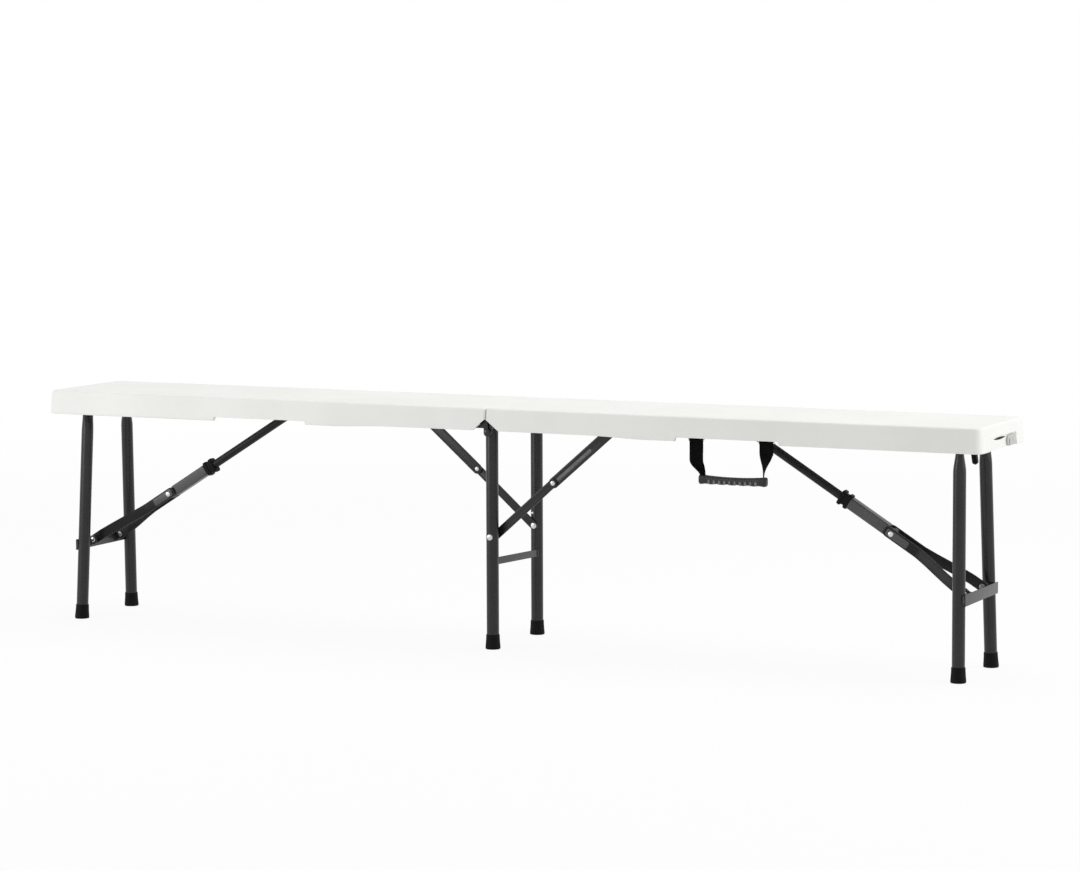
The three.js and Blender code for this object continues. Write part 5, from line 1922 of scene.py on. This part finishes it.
@dataclass
class CarryHandle:
    """The carrying handle: wire staples, two webbing straps with stitching, and a ribbed grip."""

    axis_y: float = -108.5
    axis_z: float = 389.6
    left: float = 397.8
    right: float = 526.3
    width: float = 25.0
    foot_width: float = 12.0
    foot_inset: float = 6.0
    turn_share: float = 0.72
    thickness: float = 1.6
    left_twist: Pair = (34.0, 61.0)
    right_twist: Pair = (15.0, 58.0)
    wire: float = 1.2
    wire_rise: float = 11.4
    eye: float = 2.9
    grip_low: float = 404.0
    grip_high: float = 527.5
    grip_top: float = 331.2
    grip_bottom: float = 314.8
    grip_half: float = 7.8
    grip_sag: float = 3.0
    fingers: int = 6
    finger_depth: float = 1.0
    rib_pitch: float = 4.2
    stitch_pitch: float = 2.1
    stitch_half: float = 10.2
    stitch_downs: Pair = (5.4, 18.6)

    def staple(self, middle: float) -> Skin:
        """Builds a wire staple: a round wire along a path with two quarter-circle bends.

        Args:
            middle: Its place along the bench.

        Returns:
            The staple.
        """
        reach, bend = self.width / 2 + RUNNING_GAP + self.wire, 1.6
        turn = np.linspace(0, QUARTER, 7)
        right = np.stack([reach - bend + bend * np.sin(turn), bend - bend * np.cos(turn)], axis=1)
        left = right[::-1] * [-1, 1]
        flat = np.concatenate([[[-reach, self.wire_rise]], left, right, [[reach, self.wire_rise]]])
        path = grid_of(middle + flat[:, 0], self.axis_y, self.axis_z + flat[:, 1])
        return skin_of(carried(ring(self.wire, 16), path, (0, 1, 0)))

    def strap(self, middle: float, foot: float, way: int) -> Skin:
        """Builds a strap: an eye round the wire, and a run that twists and leans down to the grip.

        At a distance d down, the section is turned by most of a quarter turn times a smooth step
        of d, and narrows and moves towards its foot by the same step.

        Args:
            middle: Its place along the bench at the wire.
            foot: Its place along the bench at the grip.
            way: The way that it twists.

        Returns:
            The strap, with its measures across and along.
        """
        drop = self.axis_z - (self.grip_top - 8.0)
        down = np.linspace(1.6, drop, 60)
        share = ramp(down, *(self.left_twist if middle == self.left else self.right_twist))
        half = (self.width + (self.foot_width - self.width) * share) / 2
        turn = way * self.turn_share * QUARTER * share
        run_x = (middle + (foot - middle) * share)[:, None]
        section = soft_rectangle(1.0, self.thickness / 2, 0.5, 3)
        u = np.sign(section[:, 0])[None] * (half[:, None] - (1 - np.abs(section[:, 0]))[None])
        v = np.broadcast_to(section[:, 1], u.shape)
        level = np.linspace(-1, 1, 9)[1:-1] * (half[:, None] - 1)
        face = np.full(level.shape, self.thickness / 2)
        u = np.concatenate([u[:, :4], level[:, ::-1], u[:, 4:12], level, u[:, 12:]], axis=1)
        v = np.concatenate([v[:, :4], face, v[:, 4:12], -face, v[:, 12:]], axis=1)
        c, s = np.cos(turn)[:, None], np.sin(turn)[:, None]
        fall = down[:, None]
        grid = grid_of(run_x + u * c - v * s, self.axis_y + u * s + v * c, self.axis_z - fall)
        band = skin_of(grid, Ends.CAPPED, grid_of(u, fall))
        return together(band, self.eye_band(middle), self.tail(middle))

    def eye_band(self, middle: float) -> Skin:
        """Builds the webbing's loop round the wire, a thin tube as wide as the strap."""
        half = self.width / 2
        profile = sleeve(self.eye, self.wire + RUNNING_GAP, -half, half, 0.4)
        loop = turned(profile, (middle, self.axis_y, self.axis_z), (1, 0, 0), 32, Ends.WRAPPED)
        away = loop.points - [middle, self.axis_y, self.axis_z]
        runs = np.stack([away[:, 0], np.arctan2(away[:, 1], away[:, 2]) * self.eye], axis=1)
        return replace(loop, runs=runs)

    def tail(self, middle: float) -> Skin:
        """Builds the webbing's end, folded back behind the strap and sewn to it."""
        down = np.linspace(2.2, 21, 14)
        section = soft_rectangle(self.width / 2 - 0.3, 0.7, 0.45, 3)
        back = self.axis_y + self.thickness / 2 + 0.62
        lifted = 0.9 * (1 - ramp(down, 2, 6))[:, None]
        fall = down[:, None]
        grid = grid_of(middle + section[:, 0], back + section[:, 1] - lifted, self.axis_z - fall)
        return skin_of(grid, Ends.CAPPED, grid_of(section[:, 0], fall))

    def stitches(self, middle: float) -> Skin:
        """Builds the sewn box that joins the strap to its tail, as small raised threads.

        Each thread is a small ball stretched along its line and flattened across the strap.
        """
        half, (first, last) = self.stitch_half, self.stitch_downs
        across = np.arange(-9.45, 9.5, self.stitch_pitch)
        downs = np.arange(6.5, last, self.stitch_pitch)
        level = np.stack([np.tile(across, 2), np.repeat([first, last], len(across))], axis=1)
        upright = np.stack([np.repeat([-half, half], len(downs)), np.tile(downs, 2)], axis=1)
        profile = np.array([[0, -0.9], [0.32, -0.55], [0.42, 0], [0.32, 0.55], [0, 0.9]])
        ball = turned(profile, (0, 0, 0), (1, 0, 0), 8)
        standing = ball.moved(ball.points[:, [2, 1, 0]]).outward()
        y = self.axis_y - self.thickness / 2 - 0.06
        return together(*[
            thread.shifted(middle + x, y, self.axis_z - d)
            for places, thread in ((level, ball), (upright, standing))
            for x, d in places
        ])

    def grip(self) -> Skin:
        """Builds the grip: a soft section carried along X, bowed, with finger hollows below.

        The top sags by (1 - t^2) in the middle, t from -1 to 1, the underside rises by sin^2 in
        each finger hollow, and fine ribs draw the section in along the middle stretch.

        Returns:
            The grip.
        """
        low, high = self.grip_low, self.grip_high
        x = np.linspace(low, high, 260)
        t = (2 * x - low - high) / (high - low)
        top = self.grip_top - self.grip_sag * (1 - t * t)
        run = (x - low - 3) / (high - low - 6) * self.fingers
        hollow = np.sin(np.clip(run, 0, self.fingers) * math.pi) ** 2
        bottom = self.grip_bottom + self.finger_depth * hollow
        half_z, middle_z = (top - bottom) / 2, (top + bottom) / 2
        away = np.minimum(x - low, high - x)
        end = np.sqrt(np.clip(1 - (1 - np.clip(away / 3.5, 0, 1)) ** 2, 0.02, 1))
        ribs = 0.35 * (0.5 + 0.5 * np.cos(x * FULL_TURN / self.rib_pitch)) * ramp(away, 12, 16)
        unit = soft_rectangle(1.0, 1.0, 0.62, 9)
        half_y = self.grip_half - 3.2 * (1 - end) - ribs
        up = half_z - 3.2 * (1 - end) - ribs * 0.6
        sections = unit[None] * np.stack([half_y, up], axis=1)[:, None, :]
        y, z = self.axis_y + sections[..., 0], middle_z[:, None] + sections[..., 1]
        return skin_of(grid_of(x[:, None], y, z))

    def rib_row(self) -> Skin:
        """Builds the row of small worn ribs on the grip's front, each a flattened ball."""
        turn = np.linspace(0, 2 * QUARTER, 9)
        ball = np.stack([np.sin(turn), -np.cos(turn)], axis=1)
        rib = turned(ball, (0, 0, 0), (0, 0, 1), 12)
        rib = rib.moved(rib.points * [2.3, 0.9, 4.0])
        middle, half = (self.grip_low + self.grip_high) / 2, (self.grip_high - self.grip_low) / 2
        x = np.linspace(middle - 42, middle + 44, 10)
        sag = self.grip_sag * (1 - ((x - middle) / half) ** 2)
        z = (self.grip_top + self.grip_bottom - sag) / 2 - 2.4
        y = self.axis_y - self.grip_half + 0.5
        return together(*[rib.shifted(place, y, height) for place, height in zip(x, z)])

    def build(self) -> None:
        """Makes the handle."""
        feet = (self.grip_low + self.foot_inset, self.grip_high - self.foot_inset)
        for name, middle, foot, way in (
            ("left", self.left, feet[0], 1),
            ("right", self.right, feet[1], -1),
        ):
            wire, strap = (f"handle_wire_{name}",), (f"handle_strap_{name}",)
            webbing = self.strap(middle, foot, way)
            shown(f"handle_staple_{name}", self.staple(middle), ZINC, "right_half", wire)
            shown(f"handle_webbing_{name}", webbing, WEBBING, "handle", strap, 60.0)
            shown(f"handle_stitching_{name}", self.stitches(middle), THREAD, "handle")
        shown("handle_moulded_grip", self.grip(), GRIP_PLASTIC, "handle", ("handle_grip",))
        shown("handle_grip_ribs", self.rib_row(), RIB_PLASTIC, "handle")


@dataclass
class EndLatch:
    """The latch in the right end wall, its pin, a black sheet of painted shadow beside the latch,
    and the peg on the left end wall.
    """

    pivot_y: float = 57.0
    height: float = 397.5
    back: float = 905.8
    thickness: float = 3.0
    half: float = 9.6
    reach: float = 32.6
    arm: float = 22.6
    pin: float = 2.5
    pin_start: float = 899.0
    # Where the black sheet of painted shadow beside the hook lies: its reach, half height, height
    # and back face
    shadow_streak_reach: Pair = (-42.0, 22.0)
    slot_half: float = 2.2
    shadow_streak_height: float = 404.6
    shadow_streak_back: float = 905.7

    def hook(self) -> Skin:
        """Builds the hook: a round-ended plate with an open slot below."""
        tip = self.pivot_y - self.reach + self.half
        angle = np.linspace(-QUARTER, QUARTER, 17)
        near = arc(self.half, angle, (self.pivot_y, self.height))
        far = arc(-self.half, angle, (tip, self.height))
        slot_y, slot_half = self.pivot_y - self.arm, self.pin + 0.45
        slot = arc(slot_half, np.linspace(2 * QUARTER, 0, 13), (slot_y, self.height))
        deep = math.sqrt(self.half ** 2 - (tip - slot_y + slot_half) ** 2)
        mouth_in = [[slot_y - slot_half, self.height - deep]]
        mouth_out = [[slot_y + slot_half, self.height - self.half]]
        far = far[far[:, 0] < slot_y - slot_half - 1.5]
        outline = np.concatenate([near, far, mouth_in, slot, mouth_out])
        hole = ring(self.pin + RUNNING_GAP, 24) + [self.pivot_y, self.height]
        return plate(outline, self.back, self.back + self.thickness, (hole,), 0.6, Plane.YZ, 4)

    def slot(self) -> Skin:
        """Builds a thin black sheet beside the hook, pointed at both ends, as painted shadow where
        the latch recess is in shade.

        Its half height is the largest times 1 - s squared, s going from -1 to 1 along it.
        """
        low, high = self.shadow_streak_reach
        s = np.linspace(-1, 1, 25)
        y, rise = (low + high) / 2 + (high - low) / 2 * s, self.slot_half * (1 - s ** 2)
        lower = np.stack([y, self.shadow_streak_height - rise], axis=1)
        upper = np.stack([y, self.shadow_streak_height + rise], axis=1)[-2:0:-1]
        loop = np.concatenate([lower, upper])
        return plate(loop, self.shadow_streak_back - 1.6, self.shadow_streak_back, (), 0.1, Plane.YZ, 2)

    def headed_pin(self, y: float) -> Skin:
        """Builds a pin with a low domed head in an end wall."""
        head = self.back + self.thickness + RUNNING_GAP
        return together(
            rod((self.pin_start, y, self.height), (head + 0.2, y, self.height), self.pin, 0.3, 24),
            turned(domed(4.0, 0.6, 0.45, 6), (head, y, self.height), (1, 0, 0), 28),
        )

    def build(self) -> None:
        """Makes the latch, its pin, the black sheet of painted shadow beside it and the peg."""
        shown("latch_hook_plate", self.hook(), LATCH_PLASTIC, "latch", ("latch_hook",))
        pin = self.headed_pin(self.pivot_y)
        shown("latch_pin_head", pin, ZINC, "right_half", ("latch_pivot_pin",))
        # Painted shadow: a thin black sheet standing for the shade in the latch recess
        shown("latch_painted_shadow", self.slot(), BLACK_PLASTIC, "right_half")
        peg = Side.LEFT.placed(self.headed_pin(-self.pivot_y))
        shown("latch_peg_head", peg, ZINC, "left_half", ("latch_peg",))


@dataclass(frozen=True)
class Lamp:
    """A soft rectangular lamp: where it stands and what it faces in metres, its power in watts."""

    name: str
    place: Triple
    aim: Triple
    size: Pair
    power: float

    def build(self) -> None:
        """Makes the lamp."""
        data = bpy.data.lights.new(self.name, "AREA")
        data.shape, data.size, data.size_y = "RECTANGLE", *self.size
        data.energy = self.power
        lamp = bpy.data.objects.new(self.name, data)
        way = Vector(self.aim) - Vector(self.place)
        turn = way.to_track_quat("-Z", "Y").to_matrix().to_4x4()
        lamp.matrix_world = Matrix.Translation(self.place) @ turn
        bpy.context.scene.collection.objects.link(lamp)


@dataclass
class Studio:
    """The camera, lamps, pale floor and white surroundings."""

    eye: Triple = (2.71537, -5.58207, 0.99788)
    yaw: float = 0.44545
    pitch: float = -0.10063
    roll: float = 0.0033
    lens: float = 116.507
    ambient: float = 0.56
    floor_share: float = 0.91
    near: float = 1.4
    far: float = 4.5
    lamps: tuple[Lamp, ...] = (
        Lamp("end_lamp", (4.4, 0.7, 2.1), (0.4, 0, 0.35), (2.2, 2.2), 80),
        Lamp("front_lamp", (-2.3, -2.3, 0.95), (-0.55, 0, 0.35), (1.5, 1.3), 28),
        Lamp("top_lamp", (0.2, 0.6, 3.6), (0, 0, 0.4), (3.6, 2.4), 43),
    )

    def camera(self) -> None:
        """Sets up the camera: forward is (-sin yaw cos pitch, cos yaw cos pitch, sin pitch).

        The small roll lifts the right of the picture.
        """
        cy, sy = math.cos(self.yaw), math.sin(self.yaw)
        cp, sp = math.cos(self.pitch), math.sin(self.pitch)
        forward = Vector((-sy * cp, cy * cp, sp))
        level = Vector((cy, sy, 0))
        right = (level - level.cross(forward) * self.roll).normalized()
        up = right.cross(forward)
        turn = Matrix((right, up, -forward)).transposed().to_4x4()
        data = bpy.data.cameras.new("camera")
        data.lens, data.sensor_width, data.sensor_fit = self.lens, 36.0, "HORIZONTAL"
        data.clip_end = 60
        camera = bpy.data.objects.new("camera", data)
        camera.matrix_world = Matrix.Translation(self.eye) @ turn
        bpy.context.scene.collection.objects.link(camera)
        bpy.context.scene.camera = camera

    def seen(self, graph: Graph) -> Wire:
        """Returns 1 for rays from the camera, from gloss or through glass, and 0 for the rest."""
        path = graph.node("ShaderNodeLightPath")
        kinds = ("Is Camera Ray", "Is Glossy Ray", "Is Transmission Ray")
        camera, gloss, through = (Wire(graph, path.outputs[kind]) for kind in kinds)
        return camera.larger(gloss).larger(through)

    def surroundings(self) -> None:
        """Makes the world white to the eye and dimmer as a light."""
        world = bpy.data.worlds.new("white_room")
        world.use_nodes = True
        bpy.context.scene.world = world
        graph = Graph(world.node_tree)
        strength = self.seen(graph) * (1 - self.ambient) + self.ambient
        inputs = {"Color": (1, 1, 1, 1), "Strength": strength}
        background = graph.node("ShaderNodeBackground", None, inputs)
        graph.node("ShaderNodeOutputWorld", None, {"Surface": Wire(graph, background.outputs[0])})

    def floor(self) -> None:
        """Makes a wide pale floor that keeps the bench's shadow and otherwise reads as white.

        The share of its own white grows by a smooth step of the distance from the middle.
        """
        mesh = bpy.data.meshes.new("pale_floor")
        corner = np.array([[-1, -1, 0], [1, -1, 0], [1, 1, 0], [-1, 1, 0]], float) * 30
        corner[:, 2] = -0.0006
        mesh.from_pydata(corner.tolist(), [], [[0, 1, 2, 3]])
        made = bpy.data.materials.new("pale_floor")
        made.use_nodes = True
        graph = Graph(made.node_tree)
        matt = graph.node("ShaderNodeBsdfDiffuse", None, {"Color": (0.86, 0.86, 0.86, 1)})
        white = graph.node("ShaderNodeEmission", None, {"Color": (1, 1, 1, 1), "Strength": 1.0})
        length = {"operation": "LENGTH"}
        away = graph.wire("ShaderNodeVectorMath", "Value", length, {0: graph.place()})
        share = away.between(self.near, self.far) * (1 - self.floor_share) + self.floor_share
        mixed = graph.node("ShaderNodeMixShader", None, {
            0: self.seen(graph) * share,
            1: Wire(graph, matt.outputs[0]),
            2: Wire(graph, white.outputs[0]),
        })
        graph.node("ShaderNodeOutputMaterial", None, {"Surface": Wire(graph, mixed.outputs[0])})
        mesh.materials.append(made)
        floor = bpy.data.objects.new("pale_floor", mesh)
        bpy.context.scene.collection.objects.link(floor)

    def build(self) -> None:
        """Makes the studio."""
        bpy.context.scene.view_settings.view_transform = "Standard"
        self.camera()
        self.surroundings()
        self.floor()
        for lamp in self.lamps:
            lamp.build()


def main() -> None:
    """Builds the studio and every sub-assembly in order."""
    logging.basicConfig(level=logging.INFO, format="%(name)s: %(message)s")
    Studio().build()
    for side in Side:
        SeatHalf(side).build()
        SeatSteel(side).build()
        LegFrame(side).build()
        KneeBrace(side).build()
        CentreStay(side).build()
    CentreFrame().build()
    CarryHandle().build()
    EndLatch().build()


if __name__ == "__main__":
    main()
